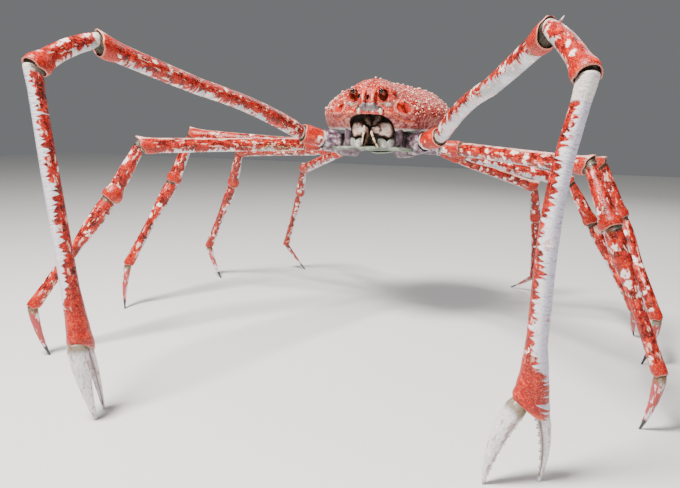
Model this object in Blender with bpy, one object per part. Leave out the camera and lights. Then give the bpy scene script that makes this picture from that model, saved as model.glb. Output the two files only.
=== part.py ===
"""Japanese spider crab, a still life-size model standing on its feet.

Metres, +Z up. The crab faces -Y and its right side is -X.
"""
import math
import random

import bmesh
import bpy
from mathutils import Matrix, Vector
from mathutils.bvhtree import BVHTree

for item in list(bpy.data.objects):
    bpy.data.objects.remove(item, do_unlink=True)

MM = 0.001
# Neighbouring pieces stand this far apart.
GAP = 0.3 * MM
# A foot touches the floor with a flat of this half-width.
FOOT = 2.2 * MM
SIDES = 10

# Colours are linear red, green and blue.
LOOKS = {
    "shell_red": ((0.52, 0.085, 0.045), 0.42),
    "shell_pink": ((0.60, 0.20, 0.14), 0.50),
    "shell_white": ((0.70, 0.62, 0.60), 0.40),
    "shell_orange": ((0.62, 0.19, 0.06), 0.42),
    "sternum_grey": ((0.36, 0.33, 0.29), 0.55),
    "eye_black": ((0.010, 0.009, 0.010), 0.12),
    "feeler_brown": ((0.30, 0.12, 0.07), 0.50),
}


def look(name):
    """The named shell material, made once."""
    found = bpy.data.materials.get(name)
    if found:
        return found
    colour, roughness = LOOKS[name]
    made = bpy.data.materials.new(name)
    made.use_nodes = True
    shader = made.node_tree.nodes["Principled BSDF"]
    shader.inputs["Base Color"].default_value = (*colour, 1.0)
    shader.inputs["Roughness"].default_value = roughness
    shader.inputs["Metallic"].default_value = 0.0
    return made


def add_object(name, bm, material):
    """Turn a bmesh into a named object with outward faces."""
    bmesh.ops.recalc_face_normals(bm, faces=bm.faces[:])
    mesh = bpy.data.meshes.new(name)
    bm.to_mesh(mesh)
    bm.free()
    mesh.materials.append(look(material))
    made = bpy.data.objects.new(name, mesh)
    bpy.context.scene.collection.objects.link(made)
    return made


def keep_largest(bm):
    """Drop every closed surface but the one with the largest volume."""
    left = set(bm.faces)
    groups = []
    while left:
        edge_of_group = [left.pop()]
        group = set(edge_of_group)
        while edge_of_group:
            face = edge_of_group.pop()
            for edge in face.edges:
                for other in edge.link_faces:
                    if other in left:
                        left.remove(other)
                        group.add(other)
                        edge_of_group.append(other)
        groups.append(group)

    def volume(group):
        total = 0.0
        for face in group:
            corners = [vert.co for vert in face.verts]
            for index in range(1, len(corners) - 1):
                total += corners[0].dot(corners[index].cross(corners[index + 1]))
        return abs(total)

    largest = max(groups, key=volume)
    spare = [face for face in bm.faces if face not in largest]
    if spare:
        bmesh.ops.delete(bm, geom=spare, context="FACES")


def combine(body, pieces, operation):
    """Join the pieces to the body, or cut them from it, with one Boolean."""
    group = bpy.data.collections.new("pieces")
    bpy.context.scene.collection.children.link(group)
    for piece in pieces:
        bpy.context.scene.collection.objects.unlink(piece)
        group.objects.link(piece)
    boolean = body.modifiers.new("join", "BOOLEAN")
    boolean.operation = operation
    boolean.operand_type = "COLLECTION"
    boolean.collection = group
    boolean.solver = "EXACT"
    bpy.context.view_layer.update()
    evaluated = body.evaluated_get(bpy.context.evaluated_depsgraph_get())
    joined = bpy.data.meshes.new_from_object(evaluated)
    body.modifiers.clear()
    material = body.data.materials[0]
    body.data = joined
    body.data.materials.clear()
    body.data.materials.append(material)
    for piece in pieces:
        bpy.data.objects.remove(piece, do_unlink=True)
    bpy.data.collections.remove(group)
    bm = bmesh.new()
    bm.from_mesh(body.data)
    bmesh.ops.remove_doubles(bm, verts=bm.verts[:], dist=0.02 * MM)
    bmesh.ops.dissolve_degenerate(bm, edges=bm.edges[:], dist=0.02 * MM)
    keep_largest(bm)
    bmesh.ops.triangulate(bm, faces=bm.faces[:])
    bmesh.ops.recalc_face_normals(bm, faces=bm.faces[:])
    bm.to_mesh(body.data)
    bm.free()
    return body


def tube(name, rings, material, sides=SIDES, tooth=0.0):
    """A closed tube through the rings, flat at both ends.

    A ring is (centre, across, upward, tangent, plane, weight). Each point slides along the
    tangent towards the plane's tilt, in full where the weight is 1. A tooth stands on the
    upper side of the last ring but one.
    """
    bm = bmesh.new()
    bmesh.ops.create_grid(bm, x_segments=sides, y_segments=len(rings) - 1, size=1.0)
    for vert in bm.verts:
        turn = math.pi * (vert.co.x + 1.0)
        index = round((vert.co.y + 1.0) / 2.0 * (len(rings) - 1))
        centre, across, upward, tangent, plane, weight = rings[index]
        offset = across * math.cos(turn) + upward * math.sin(turn)
        slide = -offset.dot(plane) / tangent.dot(plane)
        if index == len(rings) - 2 and offset.normalized().dot(upward.normalized()) > 0.9:
            offset *= 1.0 + tooth / offset.length
        vert.co = centre + offset + tangent * slide * weight
    bmesh.ops.remove_doubles(bm, verts=bm.verts[:], dist=1e-6)
    bmesh.ops.holes_fill(bm, edges=bm.edges[:], sides=sides)
    return add_object(name, bm, material)


def frame_for(tangent, side):
    """The across and upward directions of a ring."""
    across = (side - tangent * side.dot(tangent)).normalized()
    return across, tangent.cross(across).normalized()


def limb_rings(start, end, start_plane, end_plane, side, profile, flatness, bend=None):
    """Rings of one limb segment.

    The profile is a list of (share of the length, half-height). The ends are cut on the
    planes, and the tilt of the cut fades out over three half-heights. A bend gives the way
    of the middle line off the chord, across and upward.
    """
    tangent = (end - start).normalized()
    length = (end - start).length
    across, upward = frame_for(tangent, side)
    reach = 3.0 * max(size for share, size in profile)
    rings = []
    for share, size in profile:
        near_start = share < 0.5
        plane = start_plane if near_start else end_plane
        away = length * (share if near_start else 1.0 - share)
        weight = max(0.0, 1.0 - away / min(reach, length / 2.0))
        centre = start + tangent * (length * share)
        if bend:
            aside, above = bend(share)
            off = across * aside + upward * above
            centre += off - tangent * (off.dot(plane) / tangent.dot(plane) * weight)
        rings.append((centre, across * size * flatness, upward * size, tangent, plane, weight))
    return rings


def with_more_rings(profile, count):
    """The profile with even steps between its rings, for a bent segment."""
    made = []
    for (first, low), (second, high) in zip(profile, profile[1:]):
        parts = max(1, round((second - first) * count))
        for part in range(parts):
            made.append((first + (second - first) * part / parts, low + (high - low) * part / parts))
    return made + [profile[-1]]


def segment_profile(length, neck, low, middle, rim):
    """Half-heights along a leg segment: a narrow neck, a waist and a flared far rim."""
    return [
        (0.0, neck),
        (min(0.10, 0.5 * low / length), neck * 1.06),
        (min(0.20, 1.6 * low / length), low),
        (0.5, middle),
        (1.0 - min(0.24, 2.2 * rim / length), middle * 1.06),
        (1.0 - min(0.09, 0.5 * rim / length), rim),
        (1.0, rim * 0.90),
    ]


def cone(name, root, tip, root_radius, tip_radius, sides=5):
    """A closed cone between two points."""
    bm = bmesh.new()
    axis = tip - root
    made = bmesh.ops.create_cone(
        bm, cap_ends=True, segments=sides, radius1=root_radius, radius2=tip_radius,
        depth=axis.length)
    turn = Vector((0, 0, 1)).rotation_difference(axis.normalized()).to_matrix()
    bmesh.ops.rotate(bm, verts=made["verts"], cent=(0, 0, 0), matrix=turn)
    bmesh.ops.translate(bm, verts=made["verts"], vec=(root + tip) / 2)
    return add_object(name, bm, "shell_pink")


def box(name, low, high, material="sternum_grey"):
    """A closed box between two corners."""
    bm = bmesh.new()
    made = bmesh.ops.create_cube(bm, size=1.0)
    size = Vector(high) - Vector(low)
    bmesh.ops.scale(bm, verts=made["verts"], vec=size)
    bmesh.ops.translate(bm, verts=made["verts"], vec=(Vector(low) + Vector(high)) / 2)
    return add_object(name, bm, material)


# Carapace
# The shell over the back, widest behind the middle, with its lower edge on one level.
CARAPACE_HALF_LENGTH = 0.160
CARAPACE_HALF_WIDTH = 0.144
RIM_LEVEL = 0.520
TOP_HEIGHT = 0.0465
WALL_DEPTH = 0.060
UNDERSIDE = 0.484
# The body faces a little to its left of straight ahead.
BODY_TURN = math.radians(3.0)
# Humps of the back: x, y, height, half-width. Those off the middle line are mirrored.
HUMPS = [
    (0.0, -0.109, 0.034, 0.059),
    (0.0, 0.110, 0.012, 0.036),
    (0.060, 0.062, 0.019, 0.108),
    (0.082, -0.080, 0.010, 0.026),
    (0.046, -0.024, -0.006, 0.022),
    (0.032, 0.080, -0.005, 0.020),
]
# The foot of the right eye's stalk and the middle of its eye, mirrored for the left.
STALK_FOOT = Vector((-0.0310, -0.120, 0.562))
EYE_MIDDLE = Vector((-0.0313, -0.163, 0.568))
# The eyes and orbits sit a little to the right of the shell's middle line.
EYES_SHIFT = Vector((-0.004, 0.0, 0.0))
# The orbit is a pit taller than it is wide, open to the front.
ORBIT_FLOOR = Vector((-0.0310, -0.120, 0.5600))
ORBIT_WAY = Vector((-0.10, -1.0, 0.06)).normalized()
BACK_SPINES = 105
MARGIN_SPINES = 7


def mirrored(place, side):
    """A place on the right of the crab, or its mirror place on the left."""
    return Vector((-place.x * side, place.y, place.z))


def back_hump(x, y):
    """How far the humps and grooves lift the back at a place."""
    lift = 0.0
    for at_x, at_y, height, spread in HUMPS:
        for side in ((1,) if at_x == 0 else (-1, 1)):
            away = math.hypot(x - side * at_x, y - at_y) / spread
            lift += height * math.exp(-away ** 3)
    return lift


def carapace_point(direction):
    """The shell's surface in a direction from its middle."""
    forward = -direction.y
    power = 3.2 if forward > 0 else 2.0
    fullness = max(0.0, 1.0 - abs(direction.y) ** power) ** (1.0 / power)
    round_part = math.sqrt(max(1e-9, 1.0 - direction.y ** 2))
    scale = fullness / round_part
    if forward > 0:
        width = CARAPACE_HALF_WIDTH - 0.055 * forward
    else:
        width = CARAPACE_HALF_WIDTH + 0.048 * direction.y + 0.020 * direction.y ** 2
    across = abs(direction.x) / round_part
    height = direction.z * scale
    y = direction.y * CARAPACE_HALF_LENGTH
    if height > 0:
        x = math.copysign(across ** 0.81 * fullness * width, direction.x)
        z = RIM_LEVEL + height * TOP_HEIGHT
        z += back_hump(x, y) * min(1.0, height * 1.4)
    else:
        # The walls under the widest line stand nearly upright.
        x = math.copysign(across ** 0.35 * fullness * width, direction.x)
        z = max(RIM_LEVEL + height * WALL_DEPTH, UNDERSIDE)
        # The front slopes back under the face.
        if forward > 0:
            y *= 1.0 - 0.25 * (RIM_LEVEL - z) / (RIM_LEVEL - UNDERSIDE)
    return Vector((x, y, z))


def make_carapace():
    bm = bmesh.new()
    bmesh.ops.create_uvsphere(bm, u_segments=36, v_segments=22, radius=1.0)
    for vert in bm.verts:
        # The sphere's poles point to the sides, so that the rows follow the back.
        direction = Vector((vert.co.z, vert.co.x, vert.co.y)).normalized()
        vert.co = carapace_point(direction)
    bmesh.ops.remove_doubles(bm, verts=bm.verts[:], dist=0.05 * MM)
    bmesh.ops.dissolve_limit(bm, angle_limit=math.radians(0.5), verts=bm.verts[:], edges=bm.edges[:])
    bmesh.ops.triangulate(bm, faces=bm.faces[:])
    body = add_object("carapace", bm, "shell_pink")

    cutters = [box("mouth_recess", (-0.052, -0.20, 0.40), (0.052, -0.104, 0.519))]
    for side in (-1, 1):
        floor = mirrored(ORBIT_FLOOR, side) + EYES_SHIFT
        orbit = cone("orbit", floor, floor + mirrored(ORBIT_WAY, side) * 0.06, 8.5 * MM, 13 * MM, 14)
        for vert in orbit.data.vertices:
            vert.co.z = floor.z + (vert.co.z - floor.z) * 1.3
        cutters.append(orbit)
    combine(body, cutters, "DIFFERENCE")

    pieces = []
    for side in (-1, 1):
        root = Vector((side * 0.0110 - 0.002, -0.130, 0.569))
        tip = Vector((side * 0.0100, -0.173, 0.547))
        pieces.append(cone("horn", root, tip, 7.5 * MM, 1.2 * MM, 7))
        # The spine over the eye and the one outside it.
        pieces.append(cone("brow", Vector((side * 0.048, -0.120, 0.566)),
                           Vector((side * 0.051, -0.149, 0.571)), 5 * MM, 1.0 * MM, 6))
        pieces.append(cone("cheek", Vector((side * 0.060, -0.112, 0.545)),
                           Vector((side * 0.072, -0.148, 0.546)), 8 * MM, 1.0 * MM, 6))
    skin = bmesh.new()
    skin.from_mesh(body.data)
    tree = BVHTree.FromBMesh(skin)
    skin.free()
    chance = random.Random(7)
    taken = []
    tries = 0
    while len(taken) < BACK_SPINES and tries < 6000:
        tries += 1
        x = chance.uniform(-0.145, 0.145)
        y = chance.uniform(-0.150, 0.155)
        vary = chance.uniform(0.6, 1.0)
        place, normal, face, away = tree.ray_cast(Vector((x, y, 1.0)), Vector((0, 0, -1)))
        if place is None or normal.z < 0.30:
            continue
        if abs(x) < 0.055 and y < -0.118:
            continue
        if any((place - other).length < 16 * MM for other in taken):
            continue
        taken.append(place)
        crest = math.exp(-(abs(x) / 0.02) ** 2) + math.exp(-((abs(x) - 0.075) / 0.03) ** 2)
        height = (2.6 + 2.6 * min(1.0, crest) * vary) * MM
        lean = (normal + Vector((0, -0.15, 0))).normalized()
        pieces.append(cone("spine", place - lean * 4 * MM, place + lean * height,
                           4.4 * MM, 1.3 * MM))
    for side in (-1, 1):
        for index in range(MARGIN_SPINES):
            share = index / max(1, MARGIN_SPINES - 1)
            y = -0.105 + 0.235 * share
            place, normal, face, away = tree.ray_cast(
                Vector((side * 0.4, y, RIM_LEVEL + 0.012)), Vector((-side, 0, 0)))
            if place is None:
                continue
            lean = (normal + Vector((0, -0.25, 0.35))).normalized()
            pieces.append(cone("margin", place - lean * 5 * MM, place + lean * 6 * MM,
                               4.8 * MM, 1.0 * MM))
    return combine(body, pieces, "UNION")


make_carapace()

# Pose
# Heading is in degrees forward of straight out to the side, then the elevation.
# Every walking leg ends on the floor, so the lean of its last segment is worked out.
PAIRS = (1, 2, 3, 4, 5)
HIPS = {1: (0.085, -0.065), 2: (0.105, -0.020), 3: (0.110, 0.025), 4: (0.100, 0.065), 5: (0.080, 0.100)}
HIP_LEVEL = 0.452
ISCHIUM_ENDS = {
    1: (0.160, -0.122, 0.475),
    2: (0.192, -0.028, 0.446),
    3: (0.195, 0.025, 0.443),
    4: (0.190, 0.079, 0.428),
    5: (0.166, 0.131, 0.415),
}
# Merus, carpus, propodus and dactylus lengths.
LENGTHS = {
    1: (0.526, 0.139, 0.453, 0.126),
    2: (0.395, 0.134, 0.273, 0.114),
    3: (0.325, 0.136, 0.251, 0.118),
    4: (0.296, 0.124, 0.251, 0.110),
    5: (0.257, 0.109, 0.218, 0.113),
}
# Three legs on the left are a little shorter than their partners.
SHORTER = {("left", 2): 0.933, ("left", 3): 0.934, ("left", 4): 0.905}
# Merus, carpus and propodus as (heading, elevation), then the dactylus heading.
POSE = {
    ("right", 1): ((68.5, 17.0), (80.3, -22.8), (196.0, -83.6), -148.5),
    ("left", 1): ((63.7, 17.5), (64.0, -30.0), (215.0, -83.5), -199.5),
    ("right", 2): ((47.5, -0.5), (48.0, -59.5), (51.0, -52.5), -124.0),
    ("left", 2): ((43.0, -2.0), (52.5, -56.0), (40.5, -62.5), -147.5),
    ("right", 3): ((5.5, 3.0), (17.5, -66.5), (43.0, -60.5), 80.0),
    ("left", 3): ((-1.5, -4.5), (13.5, -67.0), (51.0, -56.5), -130.5),
    ("right", 4): ((-18.5, -3.0), (-44.5, -57.5), (-28.5, -56.0), 172.5),
    ("left", 4): ((-19.0, -13.5), (17.5, -58.5), (25.5, -57.5), -81.0),
    ("right", 5): ((-49.0, -13.0), (-59.0, -50.5), (-46.0, -56.5), -143.0),
    ("left", 5): ((-43.0, -17.0), (-80.0, -63.0), (-88.5, -58.5), -133.5),
}
# Widths in millimetres: coxa; then neck, low, middle, rim of merus, carpus, propodus; dactylus base.
WIDTHS = {
    1: (50, (30, 37, 33, 42), (23, 28, 31, 41), (28, 25, 28, 41), 31),
    2: (40, (26, 31, 31, 37), (23, 26, 31, 44), (32, 36, 23, 27), 21),
    3: (37, (25, 30, 29, 36), (22, 25, 30, 41), (30, 34, 24, 27), 19),
    4: (34, (23, 28, 28, 34), (19, 22, 28, 36), (26, 30, 22, 26), 18),
    5: (30, (21, 26, 26, 33), (18, 22, 26, 31), (20, 24, 19, 23), 15),
}
# The second tip of each claw, on the floor.
FIXED_TIPS = {"right": (-0.314, -0.657, 0.0), "left": (0.416, -0.633, 0.0)}
FLATNESS = 0.90
# A blunt tooth stands on the far upper rim of each merus.
TOOTH = 5.0 * MM


def step(side, heading, elevation, length):
    """The move along a segment."""
    turn = math.radians(heading)
    rise = math.radians(elevation)
    sign = 1 if side == "left" else -1
    return length * Vector((sign * math.cos(turn) * math.cos(rise),
                            -math.sin(turn) * math.cos(rise), math.sin(rise)))


def limb_joints(side, pair):
    """Hip, ischium end, merus end, carpus end, propodus end and tip."""
    sign = 1 if side == "left" else -1
    hip_x, hip_y = HIPS[pair]
    end = ISCHIUM_ENDS[pair]
    joints = [Vector((sign * hip_x, hip_y, HIP_LEVEL)), Vector((sign * end[0], end[1], end[2]))]
    lengths = [length * SHORTER.get((side, pair), 1.0) for length in LENGTHS[pair]]
    pose = POSE[(side, pair)]
    for (heading, elevation), length in zip(pose[:3], lengths):
        joints.append(joints[-1] + step(side, heading, elevation, length))
    lean = -math.degrees(math.asin(min(1.0, joints[-1].z / lengths[3])))
    joints.append(joints[-1] + step(side, pose[3], lean, lengths[3]))
    return joints


def finger_rings(start, tip, plane, side, bow, base, flatness, shares):
    """Rings of a curved tapering finger that ends in a small flat on the floor."""
    middle = (start + tip) / 2 + bow
    rings = []
    for share, size in shares:
        centre = start * (1 - share) ** 2 + middle * 2 * share * (1 - share) + tip * share ** 2
        tangent = ((middle - start) * (1 - share) + (tip - middle) * share).normalized()
        across, upward = frame_for(tangent, side)
        if share > 0.5:
            level, weight = Vector((0, 0, 1)), max(0.0, 1.0 - (1.0 - share) * 9)
        else:
            level, weight = plane, max(0.0, 1.0 - share * 3)
        half = max(FOOT, base / 2 * size) if share < 1 else FOOT
        rings.append((centre, across * half * flatness, upward * half, tangent, level, weight))
    return rings


# The palm ends on a slant, further out on the side of the fixed finger.
PALM_SLANT = 0.70
FINGER_SHARES = [(0.0, 0.90), (0.06, 1.06), (0.2, 1.0), (0.4, 0.82), (0.6, 0.62), (0.8, 0.40),
                 (0.93, 0.24), (1.0, 0.2)]

# The arm's merus rises near the body and sags before the knee, its carpus is arched, and the
# long hand bends towards the moving finger and widens on the other side.
MERUS_RISE = {"right": 8 * MM, "left": 14 * MM}
MERUS_SAG = 4.5 * MM
CARPUS_LIFT = 2.5 * MM
CARPUS_ARCH = 6 * MM
HAND_BOW = {"right": 2 * MM, "left": 14 * MM}
PALM_SHIFT = 4.5 * MM


def arm_bend(side, index, share):
    """How far the middle line of an arm segment lies off its chord, across and upward."""
    if index == 1 and share < 0.58:
        return 0.0, MERUS_RISE[side] * math.sin(math.pi * share / 0.58)
    if index == 1:
        return 0.0, -MERUS_SAG * math.sin(math.pi / 2 * (share - 0.58) / 0.42)
    if index == 2:
        return 0.0, CARPUS_LIFT * (1 - share) + CARPUS_ARCH * math.sin(math.pi * share)
    palm = min(1.0, max(0.0, (share - 0.78) / 0.19))
    return HAND_BOW[side] * math.sin(math.pi * share ** 0.7) ** 2 - PALM_SHIFT * palm, 0.0


def hand_profile(neck, low, middle, rim):
    """Half-widths along the long hand, which swells at the palm."""
    return [(0.0, neck), (0.025, neck * 0.97), (0.07, low), (0.5, middle), (0.75, middle * 1.05),
            (0.86, middle * 1.18), (0.93, rim * 0.90), (0.977, rim), (1.0, rim * 0.90)]


def make_limb(side, pair):
    joints = limb_joints(side, pair)
    coxa_width, merus, carpus, propodus, tip_width = WIDTHS[pair]
    names = ["coxa", "merus", "carpus", "propodus", "dactylus"]
    stem = "cheliped_" + side if pair == 1 else "leg%d_%s" % (pair, side)
    ways = [(b - a).normalized() for a, b in zip(joints, joints[1:])]
    planes = [ways[0]] + [(a + b).normalized() for a, b in zip(ways, ways[1:])] + [ways[-1]]
    # The rings' upward side is the outside of the knee.
    hinge = ways[1].cross(ways[3]).normalized()
    colours = ["shell_orange", "shell_red", "shell_red", "shell_red", "shell_pink"]
    if pair == 1:
        colours[3] = colours[4] = "shell_white"
    profiles = [None] * 4
    half_coxa = coxa_width / 2 * MM
    # A thick coxa, then the narrower ischium.
    profiles[0] = [(0.0, half_coxa * 0.94), (0.12, half_coxa), (0.36, half_coxa * 0.97),
                   (0.46, half_coxa * 0.80), (0.60, half_coxa * 0.86), (0.88, half_coxa * 0.90),
                   (1.0, half_coxa * 0.80)]
    for index, widths in enumerate((merus, carpus, propodus), start=1):
        halves = [width / 2 * MM for width in widths]
        profiles[index] = segment_profile((joints[index + 1] - joints[index]).length, *halves)
        if pair == 1:
            profiles[index] = with_more_rings(profiles[index], 4 if index == 2 else 10)
    if pair == 1:
        profiles[3] = with_more_rings(hand_profile(*[width / 2 * MM for width in propodus]), 10)
    for index in range(4):
        if pair == 1 and index == 3:
            continue
        start = joints[index] + planes[index] * GAP / 2
        end = joints[index + 1] - planes[index + 1] * GAP / 2
        bend = (lambda share: arm_bend(side, index, share)) if pair == 1 and index > 0 else None
        rings = limb_rings(start, end, planes[index], planes[index + 1], hinge,
                           profiles[index], FLATNESS, bend)
        tube(stem + "_" + names[index], rings, colours[index], tooth=TOOTH if index == 1 else 0.0)
    if pair > 1:
        start = joints[4] + planes[4] * GAP / 2
        outward = ways[4].cross(hinge).normalized()
        if outward.dot(ways[3]) < 0:
            outward.negate()
        rings = finger_rings(start, joints[5], planes[4], hinge,
                             outward * 9 * MM, tip_width * MM, FLATNESS, FINGER_SHARES)
        tube(stem + "_dactylus", rings, colours[4])
        return
    make_claw(side, joints, planes, ways, profiles[3], stem, tip_width)


def make_claw(side, joints, planes, ways, profile, stem, tip_width):
    """The palm with its fixed finger, and the moving finger beside it."""
    fixed_tip = Vector(FIXED_TIPS[side])
    gape = joints[5] - fixed_tip
    gape = (gape - ways[3] * gape.dot(ways[3])).normalized()
    start = joints[3] + planes[3] * GAP / 2
    end = joints[4]
    palm_plane = (ways[3] + gape * PALM_SLANT).normalized()
    rings = []
    made = limb_rings(start, end, planes[3], palm_plane, gape, profile, 1.0,
                      lambda share: arm_bend(side, 3, share))
    for (share, size), (centre, across, upward, tangent, plane, weight) in zip(profile, made):
        palm_share = min(1.0, max(0.0, (share - 0.78) / 0.19))
        rings.append((centre, across * (1.0 + 0.40 * palm_share), upward, tangent, plane, weight))
    palm = tube(stem + "_propodus", rings, "shell_white")
    root = joints[4] - gape * 20 * MM - ways[3] * 4 * MM
    spread = (joints[5] - fixed_tip).length
    bow = gape * (-0.16 * spread - 4 * MM)
    shares = [(0.0, 1.0), (0.2, 0.95), (0.4, 0.80), (0.6, 0.62), (0.8, 0.42), (0.93, 0.28), (1.0, 0.2)]
    finger = tube("finger", finger_rings(root, fixed_tip, ways[3], gape, bow, 21 * MM, 0.95, shares),
                  "shell_white")
    combine(palm, [finger], "UNION")
    start = joints[4] + (gape - ways[3] * PALM_SLANT) * 12.5 * MM + palm_plane * GAP
    rings = finger_rings(start, joints[5], palm_plane, gape, -bow, tip_width * MM, 0.95, FINGER_SHARES)
    tube(stem + "_dactylus", rings, "shell_white")


for pair in PAIRS:
    for side in ("right", "left"):
        make_limb(side, pair)

# Sternum
# The chest plate under the carapace, with a socket stub for each limb and a shelf for the mouth.
STERNUM_BOTTOM = 0.438
MOUTH_BOTTOM = 0.450


def turn_body(item):
    """Turn a piece of the body about the upright through the crab's middle."""
    bm = bmesh.new()
    bm.from_mesh(item.data)
    turn = Matrix.Rotation(BODY_TURN, 3, "Z")
    bmesh.ops.rotate(bm, verts=bm.verts[:], cent=(0, 0, 0), matrix=turn)
    bm.to_mesh(item.data)
    bm.free()


def chest_point(direction, top):
    """The chest plate's surface: flat above, and lower at its sides than in the middle."""
    angle = math.atan2(direction.y, direction.x)
    flat = min(1.0, math.hypot(direction.x, direction.y)) ** 0.45
    x = (0.064 if direction.y > 0 else 0.070) * flat * math.cos(angle)
    y = 0.008 + 0.104 * flat * math.sin(angle)
    middle = (top + STERNUM_BOTTOM) / 2
    rise = math.copysign(abs(direction.z) ** 0.6, direction.z) * 1.3 * (top - middle)
    lowest = STERNUM_BOTTOM - 0.012 * min(1.0, max(0.0, (abs(x) - 0.040) / 0.020))
    return Vector((x, y, min(top, max(lowest, middle + rise))))


def make_sternum():
    top = UNDERSIDE - GAP
    bm = bmesh.new()
    bmesh.ops.create_uvsphere(bm, u_segments=24, v_segments=12, radius=1.0)
    for vert in bm.verts:
        vert.co = chest_point(vert.co.copy(), top)
    bmesh.ops.remove_doubles(bm, verts=bm.verts[:], dist=0.05 * MM)
    bmesh.ops.triangulate(bm, faces=bm.faces[:])
    core = add_object("sternum", bm, "sternum_grey")
    shelf = box("shelf", (-0.034, -0.138, 0.4405), (0.034, -0.060, MOUTH_BOTTOM - GAP))
    turn_body(core)
    turn_body(shelf)
    pieces = [shelf]
    for pair in PAIRS:
        for sign in (-1, 1):
            side = "left" if sign > 0 else "right"
            joints = limb_joints(side, pair)
            way = (joints[1] - joints[0]).normalized()
            radius = (WIDTHS[pair][0] / 2 + 0.8) * MM
            bm = bmesh.new()
            inner = joints[0] - way * 0.045
            axis = joints[0] - inner
            made = bmesh.ops.create_cone(bm, cap_ends=True, segments=12, radius1=radius * 0.9,
                                         radius2=radius, depth=axis.length)
            turn = Vector((0, 0, 1)).rotation_difference(way).to_matrix()
            bmesh.ops.rotate(bm, verts=made["verts"], cent=(0, 0, 0), matrix=turn)
            bmesh.ops.translate(bm, verts=made["verts"], vec=(joints[0] + inner) / 2 - way * GAP / 2)
            pieces.append(add_object("socket", bm, "sternum_grey"))
    combine(core, pieces, "UNION")
    above = box("above", (-0.2, -0.2, top), (0.2, 0.2, top + 0.05))
    # The tail flap lies in a flat bed under the middle.
    bed = box("bed", (-0.033, -0.070, 0.38), (0.033, 0.104, STERNUM_BOTTOM))
    turn_body(bed)
    return combine(core, [above, bed], "DIFFERENCE")


make_sternum()


def make_pleon():
    """The tail flap folded flat under the chest plate."""
    bm = bmesh.new()
    bmesh.ops.create_grid(bm, x_segments=4, y_segments=8, size=1.0)
    for vert in bm.verts:
        along = (vert.co.y + 1) / 2
        half = 0.013 + 0.017 * math.sin(math.pi * min(1.0, 0.25 + along * 0.62))
        vert.co = Vector((vert.co.x * half, -0.060 + along * 0.155, STERNUM_BOTTOM - GAP))
    made = bmesh.ops.extrude_face_region(bm, geom=bm.faces[:])
    lower = [part for part in made["geom"] if isinstance(part, bmesh.types.BMVert)]
    for vert in lower:
        vert.co.x *= 0.86
        vert.co.z -= 0.008 - 0.003 * min(1.0, abs(vert.co.x) / 0.03)
    return add_object("pleon", bm, "sternum_grey")


make_pleon()


def make_maxilliped(side):
    """One outer mouth leg: two plates in line that close half of the mouth."""
    sign = 1 if side == "left" else -1
    inner = Vector((sign * 0.0035, -0.141, 0.0))
    outer = Vector((sign * 0.0475, -0.1135, 0.0))
    # Shares of the plate's width, and heights.
    outline = [(0.10, MOUTH_BOTTOM), (0.62, MOUTH_BOTTOM), (0.96, 0.462), (1.0, 0.484), (0.78, 0.500),
               (0.42, 0.506), (0.05, 0.492), (0.0, 0.470)]
    bm = bmesh.new()
    verts = [bm.verts.new(inner.lerp(outer, share) + Vector((0, 0, z))) for share, z in outline]
    face = bm.faces.new(verts)
    made = bmesh.ops.extrude_face_region(bm, geom=[face])
    back = [part for part in made["geom"] if isinstance(part, bmesh.types.BMVert)]
    bmesh.ops.translate(bm, verts=back, vec=Vector((0, 8 * MM, 0)))
    return add_object("maxilliped_" + side, bm, "shell_white")


def make_eye(side):
    """A short stalk with a round black eye."""
    sign = 1 if side == "left" else -1
    start = mirrored(STALK_FOOT, sign)
    way = (mirrored(EYE_MIDDLE, sign) - start).normalized()
    start += EYES_SHIFT
    out = mirrored(ORBIT_WAY, sign)
    start = start + out * GAP
    across, upward = frame_for(way, Vector((1, 0, 0)))
    rings = []
    sizes = ((0, 4.2), (8, 3.8), (28, 3.8), (34, 4.4), (38.0, 5.4), (43, 5.8), (47, 4.8), (49.4, 2.2))
    for along, size in sizes:
        rings.append((start + way * along * MM, across * size * MM, upward * size * MM, way, out,
                      1.0 if along == 0 else 0.0))
    return tube("eye_" + side, rings, "eye_black")


def make_antenna(side):
    """A short jointed feeler that hangs forward under the eye."""
    sign = 1 if side == "left" else -1
    place, normal = feeler_root(sign)
    across, upward = frame_for(normal, Vector((1, 0, 0)))
    lean = Vector((sign * 0.62, -0.62, -0.48)).normalized()
    rings = []
    sizes = ((0, 3.2), (5, 3.4), (11, 2.6), (13, 1.7), (20, 1.2), (30, 0.9), (40, 0.5))
    for along, size in sizes:
        share = min(1.0, along / 22)
        tangent = (normal * (1 - share) + lean * share).normalized()
        if rings:
            centre = rings[-1][0] + tangent * (along - last) * MM
        else:
            centre = place + normal * GAP
        last = along
        across, upward = frame_for(tangent, Vector((1, 0, 0)))
        plane = normal if along == 0 else tangent
        rings.append((centre, across * size * MM, upward * size * MM, tangent, plane, 0.0))
    return tube("antenna_" + side, rings, "feeler_brown", 8)


def feeler_root(sign):
    """A place on the flat front over the mouth, and the way out from it."""
    body = bpy.data.objects["carapace"]
    bm = bmesh.new()
    bm.from_mesh(body.data)
    tree = BVHTree.FromBMesh(bm)
    bm.free()
    place, normal, face, away = tree.ray_cast(Vector((sign * 0.0235, -0.5, 0.5405)), Vector((0, 1, 0)))
    return place, normal


for side in ("right", "left"):
    make_maxilliped(side)
    make_eye(side)
    make_antenna(side)


for item in bpy.data.objects:
    if item.name.split("_")[0] in ("carapace", "maxilliped", "eye", "antenna", "pleon"):
        turn_body(item)


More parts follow.
